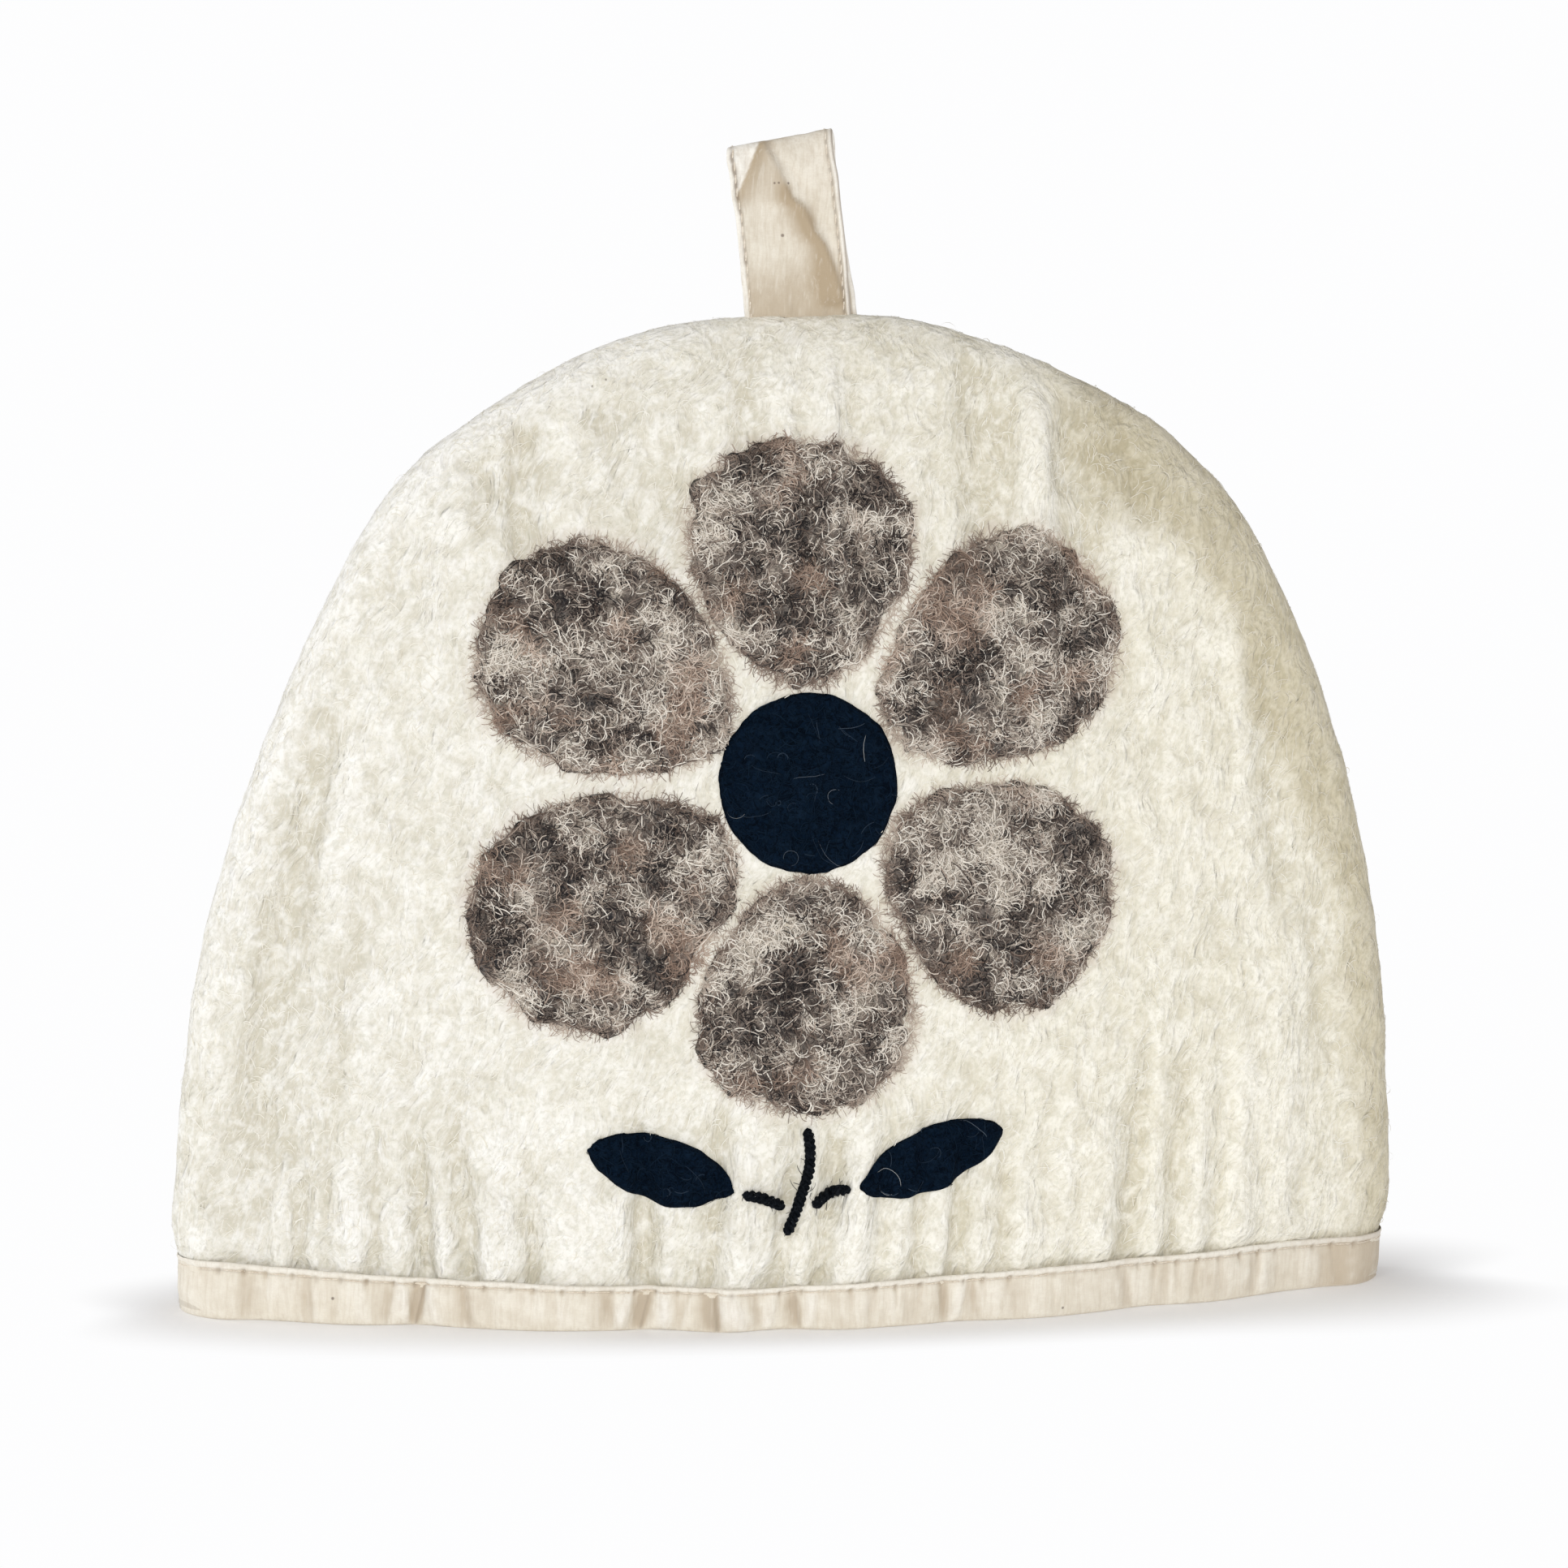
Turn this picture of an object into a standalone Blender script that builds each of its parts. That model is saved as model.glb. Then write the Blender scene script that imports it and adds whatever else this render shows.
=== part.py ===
"""Tea cosy: a seamless wool-felt hood with a bound hem, a hanging loop and a felted-on flower.

The origin is at the bottom centre. X runs along the width, the front faces -Y and Z is up.
Sizes in the tables are millimetres. Every cloth is a sheet on one shared surface: the middle
of the felt, whose half depth at each (x, z) is given by felt_half_depth.
"""

import math

import bmesh
import bpy
from mathutils import Matrix, Vector

MM = 0.001

# Felt hood, measured to the middle of the felt.
FELT_THICKNESS = 4.0
HALF_WIDTH = 168.0
HEIGHT = 263.0
HALF_DEPTH = 35.6
SIDE_FLATTENED = 0.41
MIDDLE_ROUNDING = 0.2
RIM_ROLL = 0.30
SIDE_POWER = 2.65
TOP_POWER = 2.14
RIM_FULLNESS_SIDE = 0.55
RIM_FULLNESS_TOP = 1.07
HEM_Z = 1.8
HEM_DRAWN_IN = 2.6
HEM_DRAWN_FLAT = 1.2
HEM_DRAWN_FROM = 11.0
HEM_DRAWN_HEIGHT = 16.0
FOLD_FADE = 0.14

# Mesh of the hood: rings from the middle of the hem out to the rim, closer together at the rim.
RINGS = 21
RIM_STEPS = (0.0, 0.9, 3.2, 7.5)
OUTLINE_SAMPLES = 2400

# Unevenness of the outline, as seen from the front.
OUTLINE_COLUMNS = ("angle_deg", "spread_deg", "rise")
OUTLINE_ROWS = (
    (86.0, 5.0, 1.0),
    (76.0, 7.0, -3.0),
    (64.0, 6.0, 1.0),
    (47.0, 6.0, -0.5),
    (31.0, 7.0, 0.5),
    (108.0, 6.5, -1.6),
    (117.0, 5.0, 1.2),
    (131.0, 8.0, -2.0),
    (150.0, 8.0, 0.6),
)

# Soft vertical folds. Each runs from (x, z) to (x + lean, z + rise); a positive bulge is outward.
FOLD_COLUMNS = ("x", "z", "lean", "rise", "width", "bulge")
FRONT_FOLDS = (
    (-143.0, 60.0, 6.0, 90.0, 11.0, -1.3),
    (-127.0, 0.0, -2.0, 60.0, 10.0, 0.9),
    (-106.0, 0.0, -4.0, 62.0, 8.0, -1.9),
    (-76.0, 0.0, 2.0, 50.0, 14.0, 1.3),
    (-46.0, 0.0, -4.0, 46.0, 8.5, -1.7),
    (-28.0, 0.0, 14.0, 55.0, 8.0, 1.5),
    (-12.0, 0.0, 8.0, 48.0, 8.0, -1.1),
    (5.0, 0.0, 6.0, 48.0, 8.5, 1.1),
    (35.0, 0.0, -2.0, 48.0, 9.0, -1.4),
    (62.0, 0.0, 6.0, 58.0, 12.0, 1.0),
    (90.0, 0.0, -6.0, 52.0, 8.5, -1.3),
    (112.0, 0.0, 0.0, 60.0, 10.0, 1.1),
    (135.0, 0.0, 2.0, 70.0, 10.0, -0.8),
    (-80.0, 205.0, 2.0, 28.0, 9.0, -1.3),
    (-20.0, 188.0, 9.0, 66.0, 9.0, 1.2),
    (20.0, 190.0, 3.0, 50.0, 10.0, 0.9),
    (39.0, 208.0, -1.0, 45.0, 10.0, -2.2),
    (52.0, 190.0, -4.0, 60.0, 9.5, 2.0),
    (72.0, 200.0, -6.0, 40.0, 11.0, -1.4),
)
BACK_FOLDS = (
    (-132.0, 0.0, 4.0, 80.0, 12.0, -1.2),
    (-98.0, 0.0, -6.0, 64.0, 11.0, 1.3),
    (-60.0, 0.0, 3.0, 70.0, 10.0, -1.5),
    (-22.0, 0.0, -8.0, 54.0, 11.0, 1.2),
    (14.0, 0.0, 5.0, 66.0, 10.0, -1.4),
    (54.0, 0.0, 2.0, 72.0, 12.0, 1.4),
    (92.0, 0.0, -4.0, 60.0, 11.0, -1.3),
    (126.0, 0.0, -2.0, 84.0, 12.0, 0.9),
    (-56.0, 170.0, 8.0, 70.0, 13.0, -1.3),
    (2.0, 150.0, 6.0, 90.0, 15.0, 1.2),
    (58.0, 160.0, -8.0, 74.0, 12.0, -1.5),
)

# Hem binding: a cotton strip, 1 mm thick, folded round the raw edge. Its closed section goes
# down the outside, under the hem and up the inside, then back against the felt.
BINDING_COLUMNS = ("offset_from_felt_middle", "z")
BINDING_SECTION = (
    (3.85, 14.2),
    (3.5, 8.0),
    (3.5, 1.4),
    (2.9, 0.0),
    (-2.9, 0.0),
    (-3.5, 1.4),
    (-3.5, 7.5),
    (-3.75, 13.2),
    (-2.75, 13.2),
    (-2.5, 7.5),
    (-2.5, 1.7),
    (-2.2, 1.0),
    (2.2, 1.0),
    (2.5, 1.7),
    (2.5, 8.0),
    (2.85, 14.2),
)

# Hanging loop: a tape folded over, both feet sewn into a slit in the top of the hood.
LOOP_THICKNESS = 1.2
LOOP_HALF_WIDTH = 14.3
LOOP_X = -8.4
LOOP_BASE_Z = 263.0
LOOP_LEAN_DEG = 9.0
LOOP_ACROSS = 4
SLIT_CLEARANCE = 0.6
SLIT_HEIGHT = 26.0
LOOP_COLUMNS = ("y", "height")
LOOP_ROWS = (
    (-0.9, -14.0),
    (-0.9, -7.0),
    (-0.9, 2.0),
    (-1.3, 5.5),
    (-2.7, 12.0),
    (-3.9, 19.0),
    (-4.4, 28.0),
    (-4.2, 36.0),
    (-3.3, 42.0),
    (-1.9, 45.6),
    (0.0, 47.0),
    (1.9, 45.6),
    (3.3, 42.0),
    (4.2, 36.0),
    (4.4, 28.0),
    (3.9, 19.0),
    (2.7, 12.0),
    (1.3, 5.5),
    (0.9, 2.0),
    (0.9, -7.0),
    (0.9, -14.0),
)

# Flower on the front, felted and stitched on.
PATCH_GAP = 0.85
FLOWER_X = -9.0
FLOWER_Z = 145.0
PETAL_COLUMNS = ("name", "angle_deg", "reach", "half_length", "half_width")
PETAL_ROWS = (
    ("petal_top", 92.0, 56.5, 31.0, 28.5),
    ("petal_upper_right", 33.0, 60.0, 34.5, 27.5),
    ("petal_lower_right", -29.0, 58.5, 33.0, 28.5),
    ("petal_bottom", -89.0, 55.5, 30.5, 27.5),
    ("petal_lower_left", -148.0, 60.5, 35.0, 28.5),
    ("petal_upper_left", 151.0, 59.0, 33.5, 28.0),
)
PETAL_EGG = 0.24
PETAL_THICKNESS = 2.0
PETAL_CELLS = 8
CENTRE_RADIUS = 23.5
CENTRE_THICKNESS = 1.8
CENTRE_CELLS = 8
LEAF_COLUMNS = ("name", "x", "z", "angle_deg", "half_length", "half_width")
LEAF_ROWS = (
    ("leaf_left", -45.5, 43.5, 164.0, 20.0, 8.8),
    ("leaf_right", 26.5, 45.5, 20.0, 21.0, 8.6),
)
LEAF_THICKNESS = 1.6
LEAF_CELLS = 6
EDGE_SHARE = 0.45

# Couched yarn lines, as points (x, z) on the front.
YARN_RADIUS = 1.6
FRONT_EXCESS = 3.42
YARN_LINES = {
    "stem": ((-8.4, 55.0), (-7.6, 50.0), (-7.8, 44.0), (-9.0, 38.0), (-10.8, 32.0), (-12.8, 26.0)),
    "stalk_left": ((-13.6, 33.5), (-16.6, 35.4), (-20.2, 36.9), (-24.0, 37.8)),
    "stalk_right": ((-5.6, 33.6), (-2.4, 35.6), (1.0, 37.2), (4.6, 38.4)),
}

MATERIALS = {
    "felt_cream": ((0.87, 0.84, 0.76), 0.95),
    "binding_cotton": ((0.80, 0.71, 0.58), 0.85),
    "loop_cotton": ((0.72, 0.61, 0.47), 0.85),
    "fleece_taupe": ((0.25, 0.19, 0.165), 0.97),
    "felt_navy": ((0.012, 0.020, 0.036), 0.95),
    "yarn_black": ((0.010, 0.011, 0.014), 0.80),
}


def clear_scene():
    for obj in list(bpy.data.objects):
        bpy.data.objects.remove(obj, do_unlink=True)
    for collection in list(bpy.data.collections):
        bpy.data.collections.remove(collection)


def new_collection(name):
    collection = bpy.data.collections.new(name)
    bpy.context.scene.collection.children.link(collection)
    return collection


def make_materials():
    """One plain Principled material for each cloth."""
    made = {}
    for name, (colour, roughness) in MATERIALS.items():
        material = bpy.data.materials.new(name)
        material.use_nodes = True
        shader = material.node_tree.nodes["Principled BSDF"]
        shader.inputs["Base Color"].default_value = (*colour, 1.0)
        shader.inputs["Roughness"].default_value = roughness
        made[name] = material
    return made


def smooth_step(value):
    value = min(1.0, max(0.0, value))
    return value * value * (3.0 - 2.0 * value)


def drawn_in(z):
    """1 at the hem, where the binding draws the felt in, fading to 0 above it."""
    return 1.0 - smooth_step((z - HEM_DRAWN_FROM) / HEM_DRAWN_HEIGHT)


def side_reach(z):
    return HALF_WIDTH - HEM_DRAWN_IN * drawn_in(z)


def outline_scale(x, z):
    """How far the uneven outline stands out, or in, in the direction of (x, z)."""
    angle = math.degrees(math.atan2(z, x))
    scale = 1.0
    for at, spread, rise in OUTLINE_ROWS:
        scale += rise / HEIGHT * math.exp(-(((angle - at) / spread) ** 2))
    return scale


def fullness(x, z):
    """(share of the half depth, inside) at (x, z): both 1 in the middle of the hem, 0 on the rim."""
    scale = outline_scale(x, z)
    side = (abs(x) / scale / side_reach(z)) ** SIDE_POWER
    top = (max(z, 0.0) / scale / HEIGHT) ** TOP_POWER
    inside = max(0.0, 1.0 - side - top)
    blend = top / max(side + top, 1e-9)
    rim = RIM_FULLNESS_SIDE + (RIM_FULLNESS_TOP - RIM_FULLNESS_SIDE) * blend
    return math.sqrt(rim * inside + (1.0 - rim) * inside * inside), inside


def fold_bulge(x, z, folds):
    """How far the soft folds stand out of the plain surface at (x, z)."""
    total = 0.0
    for at_x, at_z, lean, rise, width, bulge in folds:
        along = (z - at_z) / rise
        across = (x - at_x - lean * min(1.0, max(0.0, along))) / width
        fade = smooth_step(1.6 - along) if along > 0.6 else 1.0
        if at_z > 0.0:
            fade *= smooth_step(1.0 + along / 0.4) if along < 0.0 else 1.0
        total += bulge * fade * math.exp(-across * across)
    return total


def flattened(x, inside):
    """Share of the depth left at x. The hood thins toward both sides, then rounds into its rim."""
    away = math.hypot(x / HALF_WIDTH, MIDDLE_ROUNDING) - MIDDLE_ROUNDING
    away /= math.hypot(1.0, MIDDLE_ROUNDING) - MIDDLE_ROUNDING
    return 1.0 - SIDE_FLATTENED * away * smooth_step(inside / RIM_ROLL)


def felt_half_depth(x, z, folds):
    share, inside = fullness(x, z)
    depth = (HALF_DEPTH - HEM_DRAWN_FLAT * drawn_in(z)) * share * flattened(x, inside)
    return depth + fold_bulge(x, z, folds) * smooth_step(inside / FOLD_FADE)


def front_point(x, z):
    return Vector((x, -felt_half_depth(x, z, FRONT_FOLDS), z))


def front_normal(x, z):
    step = 1.0
    along_x = front_point(x + step, z) - front_point(x - step, z)
    along_z = front_point(x, z + step) - front_point(x, z - step)
    return along_x.cross(along_z).normalized()


def on_front(x, z, lift):
    """Point at the given height over the felt's outer face."""
    return front_point(x, z) + front_normal(x, z) * (FELT_THICKNESS / 2 + lift)


def outline_point(turn):
    """Point of the uneven outline at a turn of 0 (right end of the hem) to pi (left end)."""
    cosine = math.cos(turn)
    x = math.copysign(abs(cosine) ** (2.0 / SIDE_POWER), cosine)
    z = HEIGHT * math.sin(turn) ** (2.0 / TOP_POWER)
    x *= side_reach(z)
    scale = outline_scale(x, z)
    return Vector((x * scale, z * scale))


def even_outline(count):
    """count + 1 evenly spaced points of the outline from the left end over the top to the right."""
    first = math.asin((HEM_Z / HEIGHT) ** (TOP_POWER / 2.0))
    sweep = math.pi - 2.0 * first
    dense = [outline_point(math.pi - first - sweep * i / OUTLINE_SAMPLES) for i in range(OUTLINE_SAMPLES + 1)]
    reached = [0.0]
    for before, after in zip(dense, dense[1:]):
        reached.append(reached[-1] + (after - before).length)
    points = []
    index = 0
    for i in range(count + 1):
        target = reached[-1] * i / count
        while index < OUTLINE_SAMPLES - 1 and reached[index + 1] < target:
            index += 1
        share = (target - reached[index]) / (reached[index + 1] - reached[index])
        points.append(dense[index].lerp(dense[index + 1], share))
    return points


def inner_outline(points, inset):
    """The outline moved inward by inset; its two ends stay level with the hem."""
    moved = []
    last = len(points) - 1
    for i, point in enumerate(points):
        if i in (0, last):
            moved.append(Vector((point.x - math.copysign(inset, point.x), HEM_Z)))
            continue
        run = (points[i + 1] - points[i - 1]).normalized()
        moved.append(point + Vector((run.y, -run.x)) * inset)
    return moved


def ring_outlines():
    """For each ring of the hood's mesh, its points from the left end of the hem to the right."""
    outline = even_outline(4 * RINGS)
    inner = inner_outline(outline, RIM_STEPS[-1])
    spread = RINGS - len(RIM_STEPS) + 1
    middle = Vector((0.0, HEM_Z))
    rings = []
    for ring in range(RINGS + 1):
        if ring > spread:
            full = inner_outline(outline, RIM_STEPS[RINGS - ring])
        else:
            full = [middle.lerp(point, ring / spread) for point in inner]
        rings.append([full[round(i * RINGS / max(ring, 1))] for i in range(4 * ring + 1)])
    return rings


def grid_mesh(columns, rows):
    """A flat grid whose vertices stand at whole numbers: 0 to columns in x, 0 to rows in y."""
    mesh = bmesh.new()
    bmesh.ops.create_grid(mesh, x_segments=columns, y_segments=rows, size=0.5)
    for vert in mesh.verts:
        vert.co.x = round((vert.co.x + 0.5) * columns)
        vert.co.y = round((vert.co.y + 0.5) * rows)
    return mesh


def add_object(name, data, collection, material):
    obj = bpy.data.objects.new(name, data)
    obj.data.materials.append(material)
    collection.objects.link(obj)
    return obj


def add_mesh(name, mesh, collection, material):
    data = bpy.data.meshes.new(name)
    mesh.to_mesh(data)
    mesh.free()
    return add_object(name, data, collection, material)


def add_thickness(obj, thickness, offset, even):
    solidify = obj.modifiers.new("thickness", "SOLIDIFY")
    solidify.thickness = thickness * MM
    solidify.offset = offset
    solidify.use_even_offset = even
    solidify.use_quality_normals = even
    return solidify


def ring_place(column, row):
    """(ring, index along it) of the grid vertex at column -RINGS..RINGS and row 0..RINGS."""
    ring = max(abs(column), row)
    if column == -ring:
        return ring, row
    if row == ring:
        return ring, 2 * ring + column
    return ring, 4 * ring - row


def hood_side(rings, folds, facing):
    """One side of the hood: a grid laid as nested arches round the middle of the hem."""
    mesh = grid_mesh(2 * RINGS, RINGS)
    for vert in mesh.verts:
        ring, index = ring_place(round(vert.co.x) - RINGS, round(vert.co.y))
        place = rings[ring][index]
        depth = 0.0 if ring == RINGS else felt_half_depth(place.x, place.y, folds)
        vert.co = Vector((place.x, facing * depth, place.y)) * MM
    if facing > 0:
        bmesh.ops.reverse_faces(mesh, faces=mesh.faces)
    return mesh


def slit_cutter(collection):
    """Box for the slit in the top of the hood, leaning with the loop."""
    mesh = bmesh.new()
    bmesh.ops.create_cube(mesh, size=MM)
    half_gap = abs(LOOP_ROWS[0][0]) + LOOP_THICKNESS / 2 + SLIT_CLEARANCE
    size = (2 * (LOOP_HALF_WIDTH + SLIT_CLEARANCE), 2 * half_gap, SLIT_HEIGHT)
    bmesh.ops.scale(mesh, vec=size, verts=mesh.verts)
    mesh.transform(loop_placement())
    data = bpy.data.meshes.new("slit_cutter")
    mesh.to_mesh(data)
    mesh.free()
    cutter = bpy.data.objects.new("slit_cutter", data)
    collection.objects.link(cutter)
    cutter.hide_render = True
    cutter.display_type = "WIRE"
    return cutter


def loop_placement():
    """From the loop's own upright frame to its place on the hood."""
    lean = Matrix.Rotation(-math.radians(LOOP_LEAN_DEG), 4, "Y")
    return Matrix.Translation(Vector((LOOP_X, 0.0, LOOP_BASE_Z)) * MM) @ lean


def build_hood(parts, cutters, material):
    """The seamless felt hood: both sides joined along the rim, given thickness, slit at the top."""
    rings = ring_outlines()
    hood = hood_side(rings, FRONT_FOLDS, -1)
    back = hood_side(rings, BACK_FOLDS, 1)
    data = bpy.data.meshes.new("back")
    back.to_mesh(data)
    back.free()
    hood.from_mesh(data)
    bpy.data.meshes.remove(data)
    bmesh.ops.remove_doubles(hood, verts=hood.verts, dist=0.01 * MM)
    obj = add_mesh("felt_body", hood, parts, material)
    add_thickness(obj, FELT_THICKNESS, 0.0, False)
    slit = obj.modifiers.new("slit", "BOOLEAN")
    slit.operation = "DIFFERENCE"
    slit.solver = "EXACT"
    slit.object = slit_cutter(cutters)
    return obj


def hem_ring(z):
    """Points of the felt's middle round the hem at height z: along the front, then the back."""
    reach = side_reach(z) * outline_scale(side_reach(z), z)
    reach *= (1.0 - (z / HEIGHT) ** TOP_POWER) ** (1.0 / SIDE_POWER)
    spread = RINGS - len(RIM_STEPS) + 1
    xs = [(reach - RIM_STEPS[-1]) * ring / spread for ring in range(spread)]
    xs += [reach - step for step in reversed(RIM_STEPS)]
    across = [-x for x in reversed(xs[1:])] + xs
    last = len(across) - 1
    front = [Vector((x, -felt_half_depth(x, z, FRONT_FOLDS))) for x in across]
    back = [Vector((x, felt_half_depth(x, z, BACK_FOLDS))) for x in reversed(across[1:last])]
    front[0].y = 0.0
    front[last].y = 0.0
    return front + back


def moved_out(ring, distance):
    """The closed ring moved outward by a distance, its corners mitred."""
    moved = []
    for i, point in enumerate(ring):
        before = (point - ring[i - 1]).normalized()
        after = (ring[(i + 1) % len(ring)] - point).normalized()
        run = (before + after).normalized()
        outward = Vector((run.y, -run.x))
        moved.append(point + outward * (distance / run.dot(after)))
    return moved


def build_binding(parts, material):
    """The cotton strip folded round the hem, flat underneath."""
    rows = []
    for offset, z in BINDING_SECTION:
        ring = moved_out(hem_ring(max(z, HEM_Z)), offset)
        rows.append([Vector((point.x, point.y, z)) * MM for point in ring])
    around = len(rows[0])
    mesh = grid_mesh(around, len(rows))
    for vert in mesh.verts:
        vert.co = rows[round(vert.co.y) % len(rows)][round(vert.co.x) % around]
    bmesh.ops.remove_doubles(mesh, verts=mesh.verts, dist=0.01 * MM)
    bmesh.ops.recalc_face_normals(mesh, faces=mesh.faces)
    return add_mesh("hem_binding", mesh, parts, material)


def build_loop(parts, material):
    """The folded tape, standing open, with both feet in the slit."""
    mesh = grid_mesh(LOOP_ACROSS, len(LOOP_ROWS) - 1)
    for vert in mesh.verts:
        y, height = LOOP_ROWS[round(vert.co.y)]
        x = (2.0 * vert.co.x / LOOP_ACROSS - 1.0) * LOOP_HALF_WIDTH
        vert.co = Vector((x, y, height)) * MM
    mesh.transform(loop_placement())
    obj = add_mesh("hanging_loop", mesh, parts, material)
    add_thickness(obj, LOOP_THICKNESS, 0.0, True)
    return obj


def disc_place(column, row, cells):
    """(share of the radius, angle) for a grid vertex, the square grid bent into a disc."""
    u = 2.0 * column / cells - 1.0
    v = 2.0 * row / cells - 1.0
    if u == 0.0 and v == 0.0:
        return 0.0, 0.0
    if abs(u) > abs(v):
        angle = math.pi / 4 * v / u
        return abs(u), angle if u > 0 else angle + math.pi
    angle = math.pi / 2 - math.pi / 4 * u / v
    return abs(v), angle if v > 0 else angle + math.pi


def build_patch(name, cells, thickness, shape, parts, material):
    """A cloth patch on the front. shape(share, angle) gives its (x, z); its edge is thinner."""
    mesh = grid_mesh(cells, cells)
    edge = []
    for vert in mesh.verts:
        share, angle = disc_place(round(vert.co.x), round(vert.co.y), cells)
        edge.append(share > 0.99)
        x, z = shape(share, angle)
        vert.co = on_front(x, z, PATCH_GAP) * MM
    obj = add_mesh(name, mesh, parts, material)
    solidify = add_thickness(obj, thickness, 1.0, False)
    group = obj.vertex_groups.new(name="full")
    for index, thin in enumerate(edge):
        group.add([index], EDGE_SHARE if thin else 1.0, "REPLACE")
    solidify.vertex_group = group.name
    return obj


def turned(x, z, along, across, angle_deg):
    cosine = math.cos(math.radians(angle_deg))
    sine = math.sin(math.radians(angle_deg))
    return x + along * cosine - across * sine, z + along * sine + across * cosine


def petal_shape(angle_deg, reach, half_length, half_width):
    def shape(share, angle):
        along = reach + share * half_length * math.cos(angle)
        swell = 1.0 + PETAL_EGG * math.cos(angle)
        across = share * half_width * math.sin(angle) * swell
        return turned(FLOWER_X, FLOWER_Z, along, across, angle_deg)

    return shape


def centre_shape(share, angle):
    radius = share * CENTRE_RADIUS
    return FLOWER_X + radius * math.cos(angle), FLOWER_Z + radius * math.sin(angle)


def leaf_shape(x, z, angle_deg, half_length, half_width):
    def shape(share, angle):
        along = share * half_length * math.cos(angle)
        across = share * half_width * math.sin(angle) * abs(math.sin(angle)) ** 0.35
        return turned(x, z, along, across, angle_deg)

    return shape


def build_yarn(name, places, parts, material):
    """A yarn laid on the front along the given (x, z) points, its ends closed."""
    curve = bpy.data.curves.new(name, "CURVE")
    curve.dimensions = "3D"
    curve.bevel_depth = YARN_RADIUS * MM
    curve.bevel_resolution = 2
    curve.use_fill_caps = True
    spline = curve.splines.new("POLY")
    spline.points.add(len(places) - 1)
    for point, (x, z) in zip(spline.points, places):
        point.co = (*(on_front(x, z, PATCH_GAP + YARN_RADIUS) * MM), 1.0)
    return add_object(name, curve, parts, material)


def build_flower(parts, materials):
    fleece = materials["fleece_taupe"]
    navy = materials["felt_navy"]
    for name, angle, reach, length, width in PETAL_ROWS:
        shape = petal_shape(angle, reach, length, width)
        build_patch(name, PETAL_CELLS, PETAL_THICKNESS, shape, parts, fleece)
    build_patch("flower_centre", CENTRE_CELLS, CENTRE_THICKNESS, centre_shape, parts, navy)
    for name, x, z, angle, length, width in LEAF_ROWS:
        shape = leaf_shape(x, z, angle, length, width)
        build_patch(name, LEAF_CELLS, LEAF_THICKNESS, shape, parts, navy)
    for name, places in YARN_LINES.items():
        build_yarn(name, places, parts, materials["yarn_black"])


def centre_over_origin():
    """The flower thickens the front only, so everything moves back by half of that."""
    for obj in bpy.data.objects:
        obj.location.y += FRONT_EXCESS / 2 * MM


def main():
    clear_scene()
    parts = new_collection("tea_cosy")
    cutters = new_collection("cutters")
    cutters.hide_render = True
    materials = make_materials()
    build_hood(parts, cutters, materials["felt_cream"])
    build_binding(parts, materials["binding_cotton"])
    build_loop(parts, materials["loop_cotton"])
    build_flower(parts, materials)
    centre_over_origin()


main()
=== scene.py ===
"""Looks of the tea cosy: fibres, fleece, yarn, stitches, materials, light and camera.

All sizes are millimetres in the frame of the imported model, turned into metres when a mesh is made.
The surface functions repeat the named sizes of the part, so every piece lies on its solid.
"""

import math

import bpy
import numpy as np
from mathutils import Matrix, Vector
from mathutils.bvhtree import BVHTree


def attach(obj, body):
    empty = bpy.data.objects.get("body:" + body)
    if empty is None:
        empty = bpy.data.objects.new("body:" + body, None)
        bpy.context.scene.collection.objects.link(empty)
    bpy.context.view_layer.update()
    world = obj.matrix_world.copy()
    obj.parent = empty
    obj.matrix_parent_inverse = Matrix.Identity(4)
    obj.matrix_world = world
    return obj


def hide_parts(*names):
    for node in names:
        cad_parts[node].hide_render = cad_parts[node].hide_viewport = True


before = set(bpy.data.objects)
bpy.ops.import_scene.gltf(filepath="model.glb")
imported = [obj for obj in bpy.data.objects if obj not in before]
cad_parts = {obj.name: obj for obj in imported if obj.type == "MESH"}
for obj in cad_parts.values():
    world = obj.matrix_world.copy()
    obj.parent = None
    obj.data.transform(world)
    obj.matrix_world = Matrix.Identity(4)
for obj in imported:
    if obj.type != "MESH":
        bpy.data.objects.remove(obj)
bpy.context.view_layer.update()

MM = 0.001
# How far along y, in mm, the frame lies from the coordinates used here
SHIFT_Y = 1.71

# ---------------------------------------------------------------- surface of the felt, as in the part
FELT_THICKNESS = 4.0
HALF_WIDTH = 168.0
HEIGHT = 263.0
HALF_DEPTH = 35.6
SIDE_FLATTENED = 0.41
MIDDLE_ROUNDING = 0.2
RIM_ROLL = 0.30
SIDE_POWER = 2.65
TOP_POWER = 2.14
RIM_FULLNESS_SIDE = 0.55
RIM_FULLNESS_TOP = 1.07
HEM_Z = 1.8
HEM_DRAWN_IN = 2.6
HEM_DRAWN_FLAT = 1.2
HEM_DRAWN_FROM = 11.0
HEM_DRAWN_HEIGHT = 16.0
FOLD_FADE = 0.14

# Unevenness of the outline: (direction from the middle of the hem in degrees, spread, rise)
OUTLINE_ROWS = (
    (86, 5, 1), (76, 7, -3), (64, 6, 1), (47, 6, -0.5), (31, 7, 0.5), (108, 6.5, -1.6), (117, 5, 1.2),
    (131, 8, -2), (150, 8, 0.6),
)

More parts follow.
